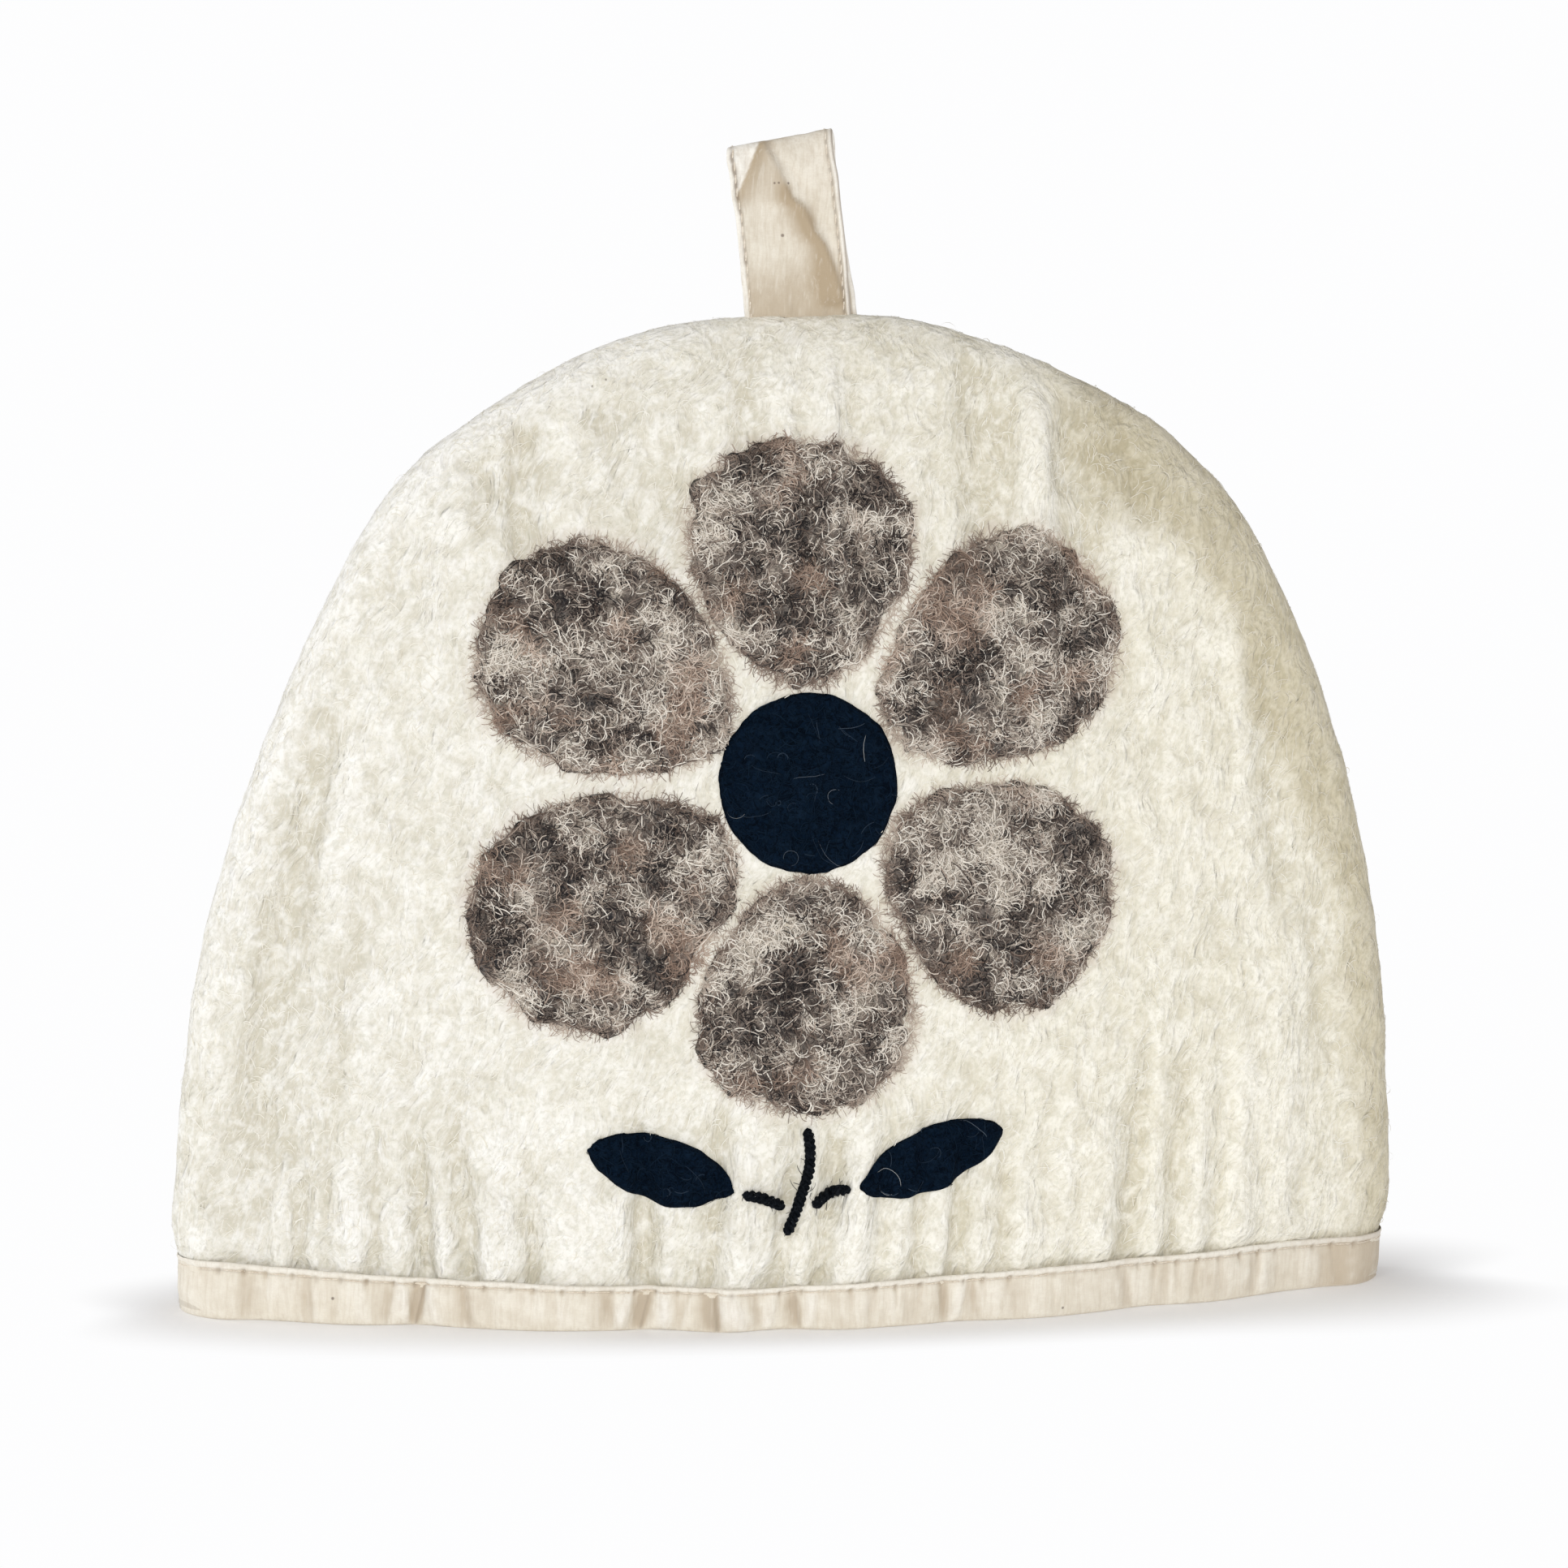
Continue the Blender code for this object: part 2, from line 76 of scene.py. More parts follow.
# (x, z, lean, rise, width, bulge) of each soft fold
FRONT_FOLDS = (
    (-143, 60, 6, 90, 11, -1.3), (-127, 0, -2, 60, 10, 0.9), (-106, 0, -4, 62, 8, -1.9),
    (-76, 0, 2, 50, 14, 1.3), (-46, 0, -4, 46, 8.5, -1.7), (-28, 0, 14, 55, 8, 1.5),
    (-12, 0, 8, 48, 8, -1.1), (5, 0, 6, 48, 8.5, 1.1), (35, 0, -2, 48, 9, -1.4), (62, 0, 6, 58, 12, 1),
    (90, 0, -6, 52, 8.5, -1.3), (112, 0, 0, 60, 10, 1.1), (135, 0, 2, 70, 10, -0.8),
    (-80, 205, 2, 28, 9, -1.3), (-20, 188, 9, 66, 9, 1.2), (20, 190, 3, 50, 10, 0.9),
    (39, 208, -1, 45, 10, -2.2), (52, 190, -4, 60, 9.5, 2), (72, 200, -6, 40, 11, -1.4),
)
BACK_FOLDS = (
    (-132, 0, 4, 80, 12, -1.2), (-98, 0, -6, 64, 11, 1.3), (-60, 0, 3, 70, 10, -1.5),
    (-22, 0, -8, 54, 11, 1.2), (14, 0, 5, 66, 10, -1.4), (54, 0, 2, 72, 12, 1.4), (92, 0, -4, 60, 11, -1.3),
    (126, 0, -2, 84, 12, 0.9), (-56, 170, 8, 70, 13, -1.3), (2, 150, 6, 90, 15, 1.2),
    (58, 160, -8, 74, 12, -1.5),
)
# Finer ripples, too narrow for the solid, in the same columns
FRONT_RIPPLES = (
    (-142, 8, 0, 26, 2.8, 0.8), (-137.6, 8, 0, 34, 2.7, -0.9), (-130.4, 20, 0, 26, 2.7, -0.7),
    (-124, 8, 0, 34, 3.2, 0.8), (-118, 8, -1, 36, 2.8, -0.9), (-112, 8, -1, 36, 2.8, 0.8),
    (-103.8, 4, -2, 34, 2.7, -2.1), (-99.4, 6, -3, 34, 2.6, 1), (-92.6, 6, -5, 40, 2.6, -2),
    (-87.4, 8, 0, 40, 3.2, 1), (-77.6, 6, -1, 28, 2.5, -1.9), (-66, 8, 2, 36, 5, 0.4),
    (-55, 6, -2, 36, 3.2, 0.6), (-49, 4, -1, 44, 2.8, -1.5), (-42.6, 6, 0, 36, 2.6, 1.1),
    (-33, 4, 3, 44, 2.7, -1.7), (-26, 4, 3, 50, 3, 1.3), (-15.6, 6, 4, 46, 2.8, -1.1),
    (-9, 6, 4, 46, 2.6, 0.7), (-3, 6, 4, 44, 2.6, -1.7), (5, 6, 3, 48, 3.2, 1.1),
    (11.6, 6, 2, 44, 2.8, -0.9), (18, 6, 2, 40, 3, 0.3), (22, 6, 2, 40, 2.5, -1.1),
    (28.6, 6, 2, 40, 2.6, 1), (34.2, 6, 2, 44, 3, -0.7), (40.2, 6, 1, 46, 2.9, 0.9),
    (48, 18, 0, 24, 2.2, -1), (52.4, 18, 0, 24, 2.4, 0.9), (60, 20, 0, 30, 2.8, -0.5),
    (67.6, 6, 1, 30, 3, -0.6), (75.6, 6, 1, 46, 2.9, 1), (81.6, 6, 7, 56, 3, -0.9), (92, 6, 0, 60, 2.8, 1),
    (97, 6, 3, 52, 2.8, -1), (104, 6, 1, 52, 2.6, 1), (109.4, 6, 4, 46, 2.8, -0.8),
    (116.6, 6, 0, 46, 2.9, 0.7), (124, 6, 1, 50, 3.4, -0.5), (131.6, 14, 0, 52, 5, 0.5),
    (-93.3, 210, 0, 20, 3, -0.9), (-83, 208, 0, 28, 3.4, -1.6), (-74, 200, 3, 36, 4, 0.6),
    (-64, 238, 0, 14, 3, -0.7), (-58, 206, 2, 50, 14, -0.35), (-44, 205, 4, 34, 4.4, -0.5),
    (-25, 234, 0, 26, 5, -0.8), (-15.4, 204, 0, 30, 3, 0.4), (-10.5, 206, 0, 40, 3, -0.4),
    (-4, 198, 1, 58, 2.7, 1.5), (2.5, 206, 1, 44, 3.4, -0.4), (24, 200, 0, 30, 3, -0.5),
    (29, 196, 1, 34, 5, 0.5), (38, 212, 0, 46, 8, -0.8), (45.6, 222, 0, 38, 3.4, -0.9),
    (53.5, 182, -1, 72, 3.6, 1.4), (66, 206, -4, 44, 7, -1), (78, 194, -2, 22, 6, 0.9),
    (84, 214, -4, 26, 5, -0.7), (-148, 6, 0, 44, 12, -0.5), (128, 20, 0, 64, 13, 0.6),
    (8, 10, 2, 30, 16, 0.3), (-150, 60, 6, 40, 4.2, -1.3), (-140, 112, 8, 40, 4.4, -1.5),
    (-132, 120, 9, 40, 4.4, 0.7), (-128, 64, 4, 44, 5, -0.5), (116, 130, -4, 50, 5, 0.6),
    (126, 120, -6, 50, 5, -0.6), (142, 70, -3, 54, 6, -0.5),
)
BACK_RIPPLES = (
    (-118, 6, 2, 42, 4.4, -0.7), (-108, 6, -3, 40, 4.2, 0.6), (-86, 6, -2, 46, 4, -0.6),
    (-70, 6, 2, 40, 4.4, 0.7), (-48, 6, 4, 36, 4, -0.7), (-36, 6, -3, 44, 4.6, 0.7),
    (-10, 6, 5, 40, 4, -0.8), (4, 6, 3, 42, 4, 0.6), (26, 6, -2, 38, 4.4, -0.6), (40, 6, 3, 44, 4.2, 0.7),
    (68, 6, 3, 42, 4.4, -0.6), (80, 6, -3, 36, 4, 0.7), (104, 6, 2, 44, 4.4, -0.7),
    (116, 6, -2, 40, 4.4, 0.6), (-30, 196, 5, 44, 5, -0.8), (26, 200, -4, 42, 5, 0.8),
    (80, 180, -8, 44, 6, -0.7), (-88, 178, 8, 44, 6, 0.7),
)

# Loop and flower, as in the part
LOOP_X = -8.4
LOOP_BASE_Z = 263.0
LOOP_LEAN_DEG = 9.0
LOOP_HALF_WIDTH = 14.3
LOOP_THICKNESS = 1.2
# The middle of the tape from its front foot over the top to the back one: (y, height)
LOOP_ROWS = (
    (-0.9, -14), (-0.9, -7), (-0.9, 2), (-1.3, 5.5), (-2.7, 12), (-3.9, 19), (-4.4, 28), (-4.2, 36),
    (-3.3, 42), (-1.9, 45.6), (0, 47), (1.9, 45.6), (3.3, 42), (4.2, 36), (4.4, 28), (3.9, 19), (2.7, 12),
    (1.3, 5.5), (0.9, 2), (0.9, -7), (0.9, -14),
)
FLOWER_X = -9.0
FLOWER_Z = 145.0
# (name, direction in degrees, distance from the middle of the flower, half length, half width)
PETAL_ROWS = (
    ("petal_top", 92, 56.5, 31, 28.5), ("petal_upper_right", 33, 60, 34.5, 27.5),
    ("petal_lower_right", -29, 58.5, 33, 28.5), ("petal_bottom", -89, 55.5, 30.5, 27.5),
    ("petal_lower_left", -148, 60.5, 35, 28.5), ("petal_upper_left", 151, 59, 33.5, 28),
)
PETAL_EGG = 0.24
CENTRE_RADIUS = 23.5
# (name, x, z, direction in degrees, half length, half width)
LEAF_ROWS = (
    ("leaf_left", -45.5, 43.5, 164, 20, 8.8), ("leaf_right", 26.5, 45.5, 20, 21, 8.6),
)
# (x, z) along each line of yarn
YARN_LINES = {
    "stem": ((-8.4, 55.0), (-7.6, 50.0), (-7.8, 44.0), (-9.0, 38.0), (-10.8, 32.0), (-12.8, 26.0)),
    "stalk_left": ((-13.6, 33.5), (-16.6, 35.4), (-20.2, 36.9), (-24.0, 37.8)),
    "stalk_right": ((-5.6, 33.6), (-2.4, 35.6), (1.0, 37.2), (4.6, 38.4)),
}


# ---------------------------------------------------------------- camera first
def add_object(name, data):
    obj = bpy.data.objects.new(name, data)
    bpy.context.scene.collection.objects.link(obj)
    return obj


def look_at(azimuth_deg, elevation_deg, roll_deg, target, distance):
    """World matrix of a camera that looks at the target (mm) from the given side."""
    azimuth, elevation, roll = (math.radians(angle) for angle in (azimuth_deg, elevation_deg, roll_deg))
    flat = math.cos(elevation)
    back = Vector((math.sin(azimuth) * flat, -math.cos(azimuth) * flat, math.sin(elevation)))
    level = Vector((math.cos(azimuth), math.sin(azimuth), 0.0))
    right = level * math.cos(roll) + back.cross(level) * math.sin(roll)
    place = (Vector(target) + back * distance) * MM
    return Matrix((*zip(right, back.cross(right), back, place), (0.0, 0.0, 0.0, 1.0)))


def make_camera():
    data = bpy.data.cameras.new("camera")
    data.sensor_width = 36.0
    data.lens = 85.57
    data.clip_start = 0.05
    data.clip_end = 30.0
    camera = add_object("camera", data)
    camera.matrix_world = look_at(-12.62, 8.0, 1.79, (-8.4, SHIFT_Y, 140.3), 1000.0)
    bpy.context.scene.camera = camera


make_camera()


# ---------------------------------------------------------------- noise
LATTICE = np.random.default_rng(11)
PERMUTED = np.tile(LATTICE.permutation(256), 2)
SLOPES = LATTICE.normal(size=(256, 3))
SLOPES /= np.linalg.norm(SLOPES, axis=1)[:, None]


def noise(points, size, seed=0.0):
    """Smooth gradient noise, about -1 to 1, with lumps of the given size in mm."""
    scaled = np.asarray(points, float) / size + seed * np.array([17.3, 5.9, 11.7])
    base = np.floor(scaled).astype(np.int64)
    part = scaled - base
    ease = part * part * part * (part * (part * 6.0 - 15.0) + 10.0)
    total = np.zeros(len(scaled))
    for corner in range(8):
        step = np.array([corner & 1, corner >> 1 & 1, corner >> 2 & 1])
        cell = (base + step) & 255
        index = PERMUTED[PERMUTED[PERMUTED[cell[:, 0]] + cell[:, 1]] + cell[:, 2]]
        dot = np.einsum("ij,ij->i", SLOPES[index], part - step)
        weight = np.prod(np.where(step == 1, ease, 1.0 - ease), axis=1)
        total += weight * dot
    return total * 1.7


def noise_line(values, size, seed=0.0):
    """The same noise along one line of values in mm."""
    values = np.asarray(values, float)
    flat = np.zeros((len(values), 3))
    flat[:, 0] = values
    flat[:, 1] = 3.1 * size
    return noise(flat, size, seed)


# ---------------------------------------------------------------- lines and curves
def bell(value):
    """1 at 0, falling off smoothly to about 0 at 2."""
    return np.exp(-(value**2))


def arc(points):
    """How far along the line through the points each of them lies."""
    return np.concatenate([[0.0], np.cumsum(np.linalg.norm(np.diff(points, axis=0), axis=1))])


def picked(where, along, points):
    """The points of a line at the given places along it."""
    return np.stack([np.interp(where, along, column) for column in points.T], axis=1)


def resampled(points, count):
    """count + 1 even points of a line."""
    along = arc(points)
    return picked(np.linspace(0.0, along[-1], count + 1), along, points)


# ---------------------------------------------------------------- surface functions
def smooth_step(value):
    value = np.clip(value, 0.0, 1.0)
    return value * value * (3.0 - 2.0 * value)


def drawn_in(z):
    return 1.0 - smooth_step((z - HEM_DRAWN_FROM) / HEM_DRAWN_HEIGHT)


def side_reach(z):
    return HALF_WIDTH - HEM_DRAWN_IN * drawn_in(z)


def outline_scale(x, z):
    angle = np.degrees(np.arctan2(z, x))
    scale = np.ones_like(angle)
    for at, spread, rise in OUTLINE_ROWS:
        scale = scale + rise / HEIGHT * bell((angle - at) / spread)
    return scale


def fullness(x, z):
    scale = outline_scale(x, z)
    side = (np.abs(x) / scale / side_reach(z)) ** SIDE_POWER
    top = (np.maximum(z, 0.0) / scale / HEIGHT) ** TOP_POWER
    inside = np.maximum(0.0, 1.0 - side - top)
    blend = top / np.maximum(side + top, 1e-9)
    rim = RIM_FULLNESS_SIDE + (RIM_FULLNESS_TOP - RIM_FULLNESS_SIDE) * blend
    return np.sqrt(rim * inside + (1.0 - rim) * inside * inside), inside


def fold_bulge(x, z, folds):
    total = np.zeros_like(x)
    for at_x, at_z, lean, rise, width, bulge in folds:
        along = (z - at_z) / rise
        across = (x - at_x - lean * np.clip(along, 0.0, 1.0)) / width
        fade = np.where(along > 0.6, smooth_step(1.6 - along), 1.0)
        if at_z > 0.0:
            fade = fade * np.where(along < 0.0, smooth_step(1.0 + along / 0.4), 1.0)
        total = total + bulge * fade * bell(across)
    return total


def flattened(x, inside):
    away = np.hypot(x / HALF_WIDTH, MIDDLE_ROUNDING) - MIDDLE_ROUNDING
    away = away / (math.hypot(1.0, MIDDLE_ROUNDING) - MIDDLE_ROUNDING)
    return 1.0 - SIDE_FLATTENED * away * smooth_step(inside / RIM_ROLL)


def half_depth(x, z, folds):
    share, inside = fullness(x, z)
    depth = (HALF_DEPTH - HEM_DRAWN_FLAT * drawn_in(z)) * share * flattened(x, inside)
    return depth + fold_bulge(x, z, folds) * smooth_step(inside / FOLD_FADE)


def front_points(x, z):
    return np.stack([x, -half_depth(x, z, FRONT_FOLDS), z], axis=1)


def front_normals(x, z):
    step = 1.0
    along_x = front_points(x + step, z) - front_points(x - step, z)
    along_z = front_points(x, z + step) - front_points(x, z - step)
    return unit(np.cross(along_x, along_z))


def unit(vectors):
    return vectors / np.maximum(np.linalg.norm(vectors, axis=-1, keepdims=True), 1e-12)


def on_front(x, z, lift):
    """Points at the given height over the felt's outer face."""
    x = np.asarray(x, float)
    z = np.asarray(z, float)
    middle = front_points(x, z)
    relief = felt_lumps(middle) + ripple_relief(middle, FRONT_RIPPLES)
    return middle + front_normals(x, z) * (FELT_THICKNESS / 2 + relief + lift)[..., None]


# ---------------------------------------------------------------- meshes from arrays
def make_mesh(name, points, face_lists, material, smooth=True, values=None):
    """One object from points in mm and arrays of faces; values are named numbers per point."""
    mesh = bpy.data.meshes.new(name)
    placed = (np.asarray(points, float) + np.array([0.0, SHIFT_Y, 0.0])) * MM
    mesh.vertices.add(len(placed))
    mesh.vertices.foreach_set("co", placed.astype(np.float32).ravel())
    corners = np.concatenate([faces.ravel() for faces in face_lists])
    sizes = np.concatenate([np.full(len(faces), faces.shape[1]) for faces in face_lists])
    mesh.loops.add(len(corners))
    mesh.loops.foreach_set("vertex_index", corners.astype(np.int32))
    mesh.polygons.add(len(sizes))
    mesh.polygons.foreach_set("loop_start", (np.cumsum(sizes) - sizes).astype(np.int32))
    mesh.polygons.foreach_set("use_smooth", np.full(len(sizes), smooth))
    mesh.update(calc_edges=True)
    mesh.validate()
    for key, numbers in (values or {}).items():
        layer = mesh.attributes.new(key, "FLOAT", "POINT")
        layer.data.foreach_set("value", np.asarray(numbers, np.float32))
    mesh.materials.append(material)
    obj = add_object(name, mesh)
    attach(obj, "root")
    return obj


def vertex_normals(points, quads):
    """Area-weighted normals of a quad mesh."""
    a, b, c, d = (points[quads[:, i]] for i in range(4))
    face = np.cross(c - a, d - b)
    normals = np.zeros_like(points)
    for i in range(4):
        np.add.at(normals, quads[:, i], face)
    return unit(normals)


def grid_quads(across, along, wrap_across=False, wrap_along=False):
    """Quads over a grid of across x along points, numbered row by row."""
    columns = np.arange(across if wrap_across else across - 1)
    rows = np.arange(along if wrap_along else along - 1)
    c, r = (grid.ravel() for grid in np.meshgrid(columns, rows))
    right = (c + 1) % across
    up = (r + 1) % along
    return np.stack([r * across + c, r * across + right, up * across + right, up * across + c], axis=1)


# ---------------------------------------------------------------- materials
class Paint:
    """A material with a Principled shader, and short names for the nodes that feed it."""

    def __init__(self, name, roughness=0.95, sheen=0.0, sheen_roughness=0.5, sheen_tint=(1, 1, 1), specular=0.15):
        self.material = bpy.data.materials.new(name)
        self.material.use_nodes = True
        self.tree = self.material.node_tree
        self.shader = self.tree.nodes["Principled BSDF"]
        self.shader.inputs["Roughness"].default_value = roughness
        self.shader.inputs["Specular IOR Level"].default_value = specular
        self.shader.inputs["Sheen Weight"].default_value = sheen
        self.shader.inputs["Sheen Roughness"].default_value = sheen_roughness
        self.shader.inputs["Sheen Tint"].default_value = (*sheen_tint, 1.0)
        self.place = self.tree.nodes.new("ShaderNodeTexCoord").outputs["Object"]

    def put(self, socket, value):
        if hasattr(value, "is_output"):
            self.tree.links.new(value, socket)
        elif hasattr(value, "__len__") and len(value) == 3 and socket.type == "RGBA":
            socket.default_value = (*value, 1.0)
        else:
            socket.default_value = value

    def add(self, kind, output, inputs, **settings):
        """A new node with these settings and inputs. Gives the named output."""
        node = self.tree.nodes.new(kind)
        for key, value in settings.items():
            setattr(node, key, value)
        for key, value in inputs.items():
            self.put(node.inputs[key], value)
        return node.outputs[output]

    def moved(self, offset, scale=(1.0, 1.0, 1.0)):
        inputs = {"Vector": self.place, "Location": [value * MM for value in offset], "Scale": scale}
        return self.add("ShaderNodeMapping", "Vector", inputs)

    def vector(self, operation, first, second=None, scale=None):
        inputs = {0: first} if second is None else {0: first, 1: second}
        if scale is not None:
            inputs["Scale"] = scale
        output = "Value" if operation in ("DISTANCE", "LENGTH", "DOT_PRODUCT") else "Vector"
        return self.add("ShaderNodeVectorMath", output, inputs, operation=operation)

    def lumps(self, source, size, detail, rough=0.5, distortion=0.0, output="Fac"):
        """Blender's noise, with lumps of the given size in mm."""
        inputs = {"Vector": source, "Scale": 1.0 / (size * MM), "Detail": detail, "Roughness": rough}
        return self.add("ShaderNodeTexNoise", output, {**inputs, "Distortion": distortion})

    def noise(self, size, detail=2.0, rough=0.5, distortion=0.0, offset=(0, 0, 0), stretch=(1, 1, 1)):
        return self.lumps(self.moved(offset, stretch), size, detail, rough, distortion)

    def warped(self, size, reach):
        """The place pushed about by up to reach mm, over lumps of the given size."""
        push = self.vector("SUBTRACT", self.lumps(self.place, size, 1.0, output="Color"), (0.5, 0.5, 0.5))
        return self.vector("ADD", self.place, self.vector("SCALE", push, scale=2.0 * reach * MM))

    def brushed(self, across, along, tilt_deg, source, detail=2.0, rough=0.55):
        """Short streaks, across mm wide and along mm long, leaning tilt_deg from upright."""
        inputs = {"Rotation": (0.0, math.radians(tilt_deg), 0.0), "Scale": (1.0, 1.0, along / across)}
        turn = self.add("ShaderNodeMapping", "Vector", {"Vector": source, **inputs}, vector_type="TEXTURE")
        return self.lumps(turn, across, detail, rough)

    def spot(self, x, z, radius):
        """1 inside a small dot at the given place in mm, 0 outside."""
        flat = self.moved((0, 0, 0), (1.0, 0.0, 1.0))
        away = self.vector("DISTANCE", flat, (x * MM, 0.0, z * MM))
        return self.span(away, 0.4 * radius * MM, radius * MM, 1.0, 0.0)

    def attribute(self, name):
        return self.add("ShaderNodeAttribute", "Fac", {}, attribute_name=name)

    def math(self, operation, first, second=0.0):
        return self.add("ShaderNodeMath", "Value", {0: first, 1: second, 2: 0.0}, operation=operation)

    def span(self, value, low, high, to_low=0.0, to_high=1.0):
        """A smooth step from to_low to to_high while the value goes from low to high."""
        inputs = {"Value": value, "From Min": low, "From Max": high, "To Min": to_low, "To Max": to_high}
        return self.add("ShaderNodeMapRange", "Result", inputs, interpolation_type="SMOOTHSTEP")

    def ramp(self, value, stops):
        node = self.tree.nodes.new("ShaderNodeValToRGB")
        self.put(node.inputs["Fac"], value)
        elements = node.color_ramp.elements
        while len(elements) < len(stops):
            elements.new(0.5)
        for element, (position, colour) in zip(elements, stops):
            element.position = position
            element.color = (*colour, 1.0)
        return node.outputs["Color"]

    def mix(self, share, first, second, blend="MIX"):
        inputs = {0: share, 6: first, 7: second}
        return self.add("ShaderNodeMix", 2, inputs, data_type="RGBA", blend_type=blend)

    def layers(self, colour, *rows):
        """The colour under a tint for each row: (source, low, high, share at low, at high, tint)."""
        for source, low, high, to_low, to_high, tint in rows:
            colour = self.mix(self.span(source, low, high, to_low, to_high), colour, tint)
        return colour

    def tinted(self, colour, source, share, tint):
        """The colour under a share of the tint where the source is 1."""
        return self.mix(self.math("MULTIPLY", source, share), colour, tint)

    def tangle(self, size, width, layers, offset=0.0):
        """Thin curly lines where a smooth noise passes its middle value, in several layers."""
        total = None
        for layer in range(layers):
            shift = (37.0 * layer + offset, 11.0 * layer - offset, 23.0 * layer + 2.0 * offset)
            field = self.noise(size * (1.0 + 0.35 * layer), 1.0, 0.4, 0.4 + 0.3 * layer, shift)
            off = self.math("ABSOLUTE", self.math("SUBTRACT", field, 0.5))
            line = self.span(off, 0.0, width, 1.0, 0.0)
            total = line if total is None else self.math("MAXIMUM", total, line)
        return total

    def bumps(self, *rows):
        """One bump over another: (height, depth in mm, strength)."""
        under = {}
        for height, depth, strength in rows:
            inputs = {"Strength": strength, "Distance": depth * MM, "Height": height, **under}
            under = {"Normal": self.add("ShaderNodeBump", "Normal", inputs)}
        return under["Normal"]

    def finish(self, colour, normal=None):
        self.put(self.shader.inputs["Base Color"], colour)
        if normal is not None:
            self.put(self.shader.inputs["Normal"], normal)
        return self.material


# Painted shade that deepens the crease near x -84, and dark specks of the felt, in front: (x, z, radius)
FELT_CREASE_SHADE_SPOTS = ((-84.0, 231.0, 5.0), (-85.5, 222.0, 3.6))
FELT_SPECKS = ((-64.6, 245.6, 0.5), (-61.2, 247.4, 0.4), (86.0, 61.0, 0.35))


def felt_paint():
    paint = Paint("wool_cream", 0.96, 0.18, 0.5, (1.0, 0.99, 0.95))
    broad = paint.noise(36.0, 2.0, 0.5, 0.4)
    cloud = paint.noise(12.0, 3.0, 0.5, 0.5, (40, 0, 10))
    warp = paint.warped(16.0, 6.0)
    tufts = paint.brushed(3.3, 8.5, 8.0, warp, 1.5, 0.5)
    nap = paint.brushed(1.6, 4.6, 24.0, warp, 2.0, 0.5)
    wisps = paint.brushed(0.62, 3.2, 24.0, warp, 1.0, 0.5)
    freckles = paint.noise(6.0, 2.0, 0.5, 0.3, (71, 5, 33))
    mottle = paint.brushed(2.3, 5.2, 20.0, warp, 1.5, 0.5)
    speckle = paint.noise(1.25, 2.0, 0.6, 0.2, (9, 2, 61))
    tan = (0.64, 0.605, 0.50)
    white = (0.96, 0.955, 0.925)
    plain = (1.0, 1.0, 1.0)
    colour = paint.ramp(broad, ((0.3, (0.83, 0.81, 0.725)), (0.5, (0.885, 0.87, 0.80)), (0.7, (0.925, 0.915, 0.86))))
    colour = paint.layers(
        colour, (cloud, 0.36, 0.56, 0.50, 0.0, (0.70, 0.67, 0.575)), (cloud, 0.50, 0.66, 0.0, 0.65, white)
    )
    # Painted shade in the felt's creases, in the hollow just above the binding and on its inside
    colour = paint.tinted(colour, paint.attribute("hollow_shade"), 0.95, tan)
    # Painted highlight on the felt's folds and along its lit left edge
    colour = paint.tinted(colour, paint.attribute("painted_highlight"), 0.7, white)
    colour = paint.layers(
        colour,
        (tufts, 0.34, 0.50, 0.20, 0.0, tan), (tufts, 0.52, 0.68, 0.0, 0.45, white),
        (mottle, 0.34, 0.50, 0.22, 0.0, tan), (mottle, 0.50, 0.66, 0.0, 0.42, white),
        (freckles, 0.54, 0.70, 0.0, 0.42, tan), (freckles, 0.32, 0.48, 0.55, 0.0, white),
        (nap, 0.34, 0.5, 0.24, 0.0, tan), (nap, 0.52, 0.68, 0.0, 0.28, white),
        (speckle, 0.36, 0.50, 0.34, 0.0, (0.59, 0.588, 0.495)), (speckle, 0.54, 0.68, 0.0, 0.30, white),
        (wisps, 0.32, 0.46, 0.14, 0.0, tan), (wisps, 0.56, 0.70, 0.0, 0.20, white),
    )
    # Painted shade deepening the crease near x -84
    for x, z, radius in FELT_CREASE_SHADE_SPOTS:
        colour = paint.tinted(colour, paint.spot(x, z, radius), 0.42, (0.60, 0.55, 0.43))
    for x, z, radius in FELT_SPECKS:
        colour = paint.tinted(colour, paint.spot(x, z, radius), 0.7, (0.20, 0.17, 0.14))
    # cream: the wool a little yellower toward the right; shade: painted shade along the right edge, the side turned
    # from the light
    for name, cast in (("cream", (1.0, 0.985, 0.93)), ("shade", (0.755, 0.72, 0.632))):
        colour = paint.mix(1.0, colour, paint.mix(paint.attribute(name), plain, cast), "MULTIPLY")
    colour = paint.tinted(colour, paint.attribute("halo"), 0.5, (0.56, 0.47, 0.40))
    bumps = paint.bumps((cloud, 2.0, 0.8), (tufts, 1.1, 0.9), (mottle, 0.7, 0.9), (nap, 0.7, 0.9), (wisps, 0.2, 0.9))
    return paint.finish(colour, bumps)


def felt_fibre_paint():
    paint = Paint("wool_cream_fibre", 0.9, 0.1, 0.5, (1.0, 0.99, 0.95))
    stops = ((0.0, (0.66, 0.62, 0.52)), (0.3, (0.79, 0.76, 0.665)), (1.0, (0.93, 0.92, 0.865)))
    return paint.finish(paint.ramp(paint.attribute("tone"), stops))


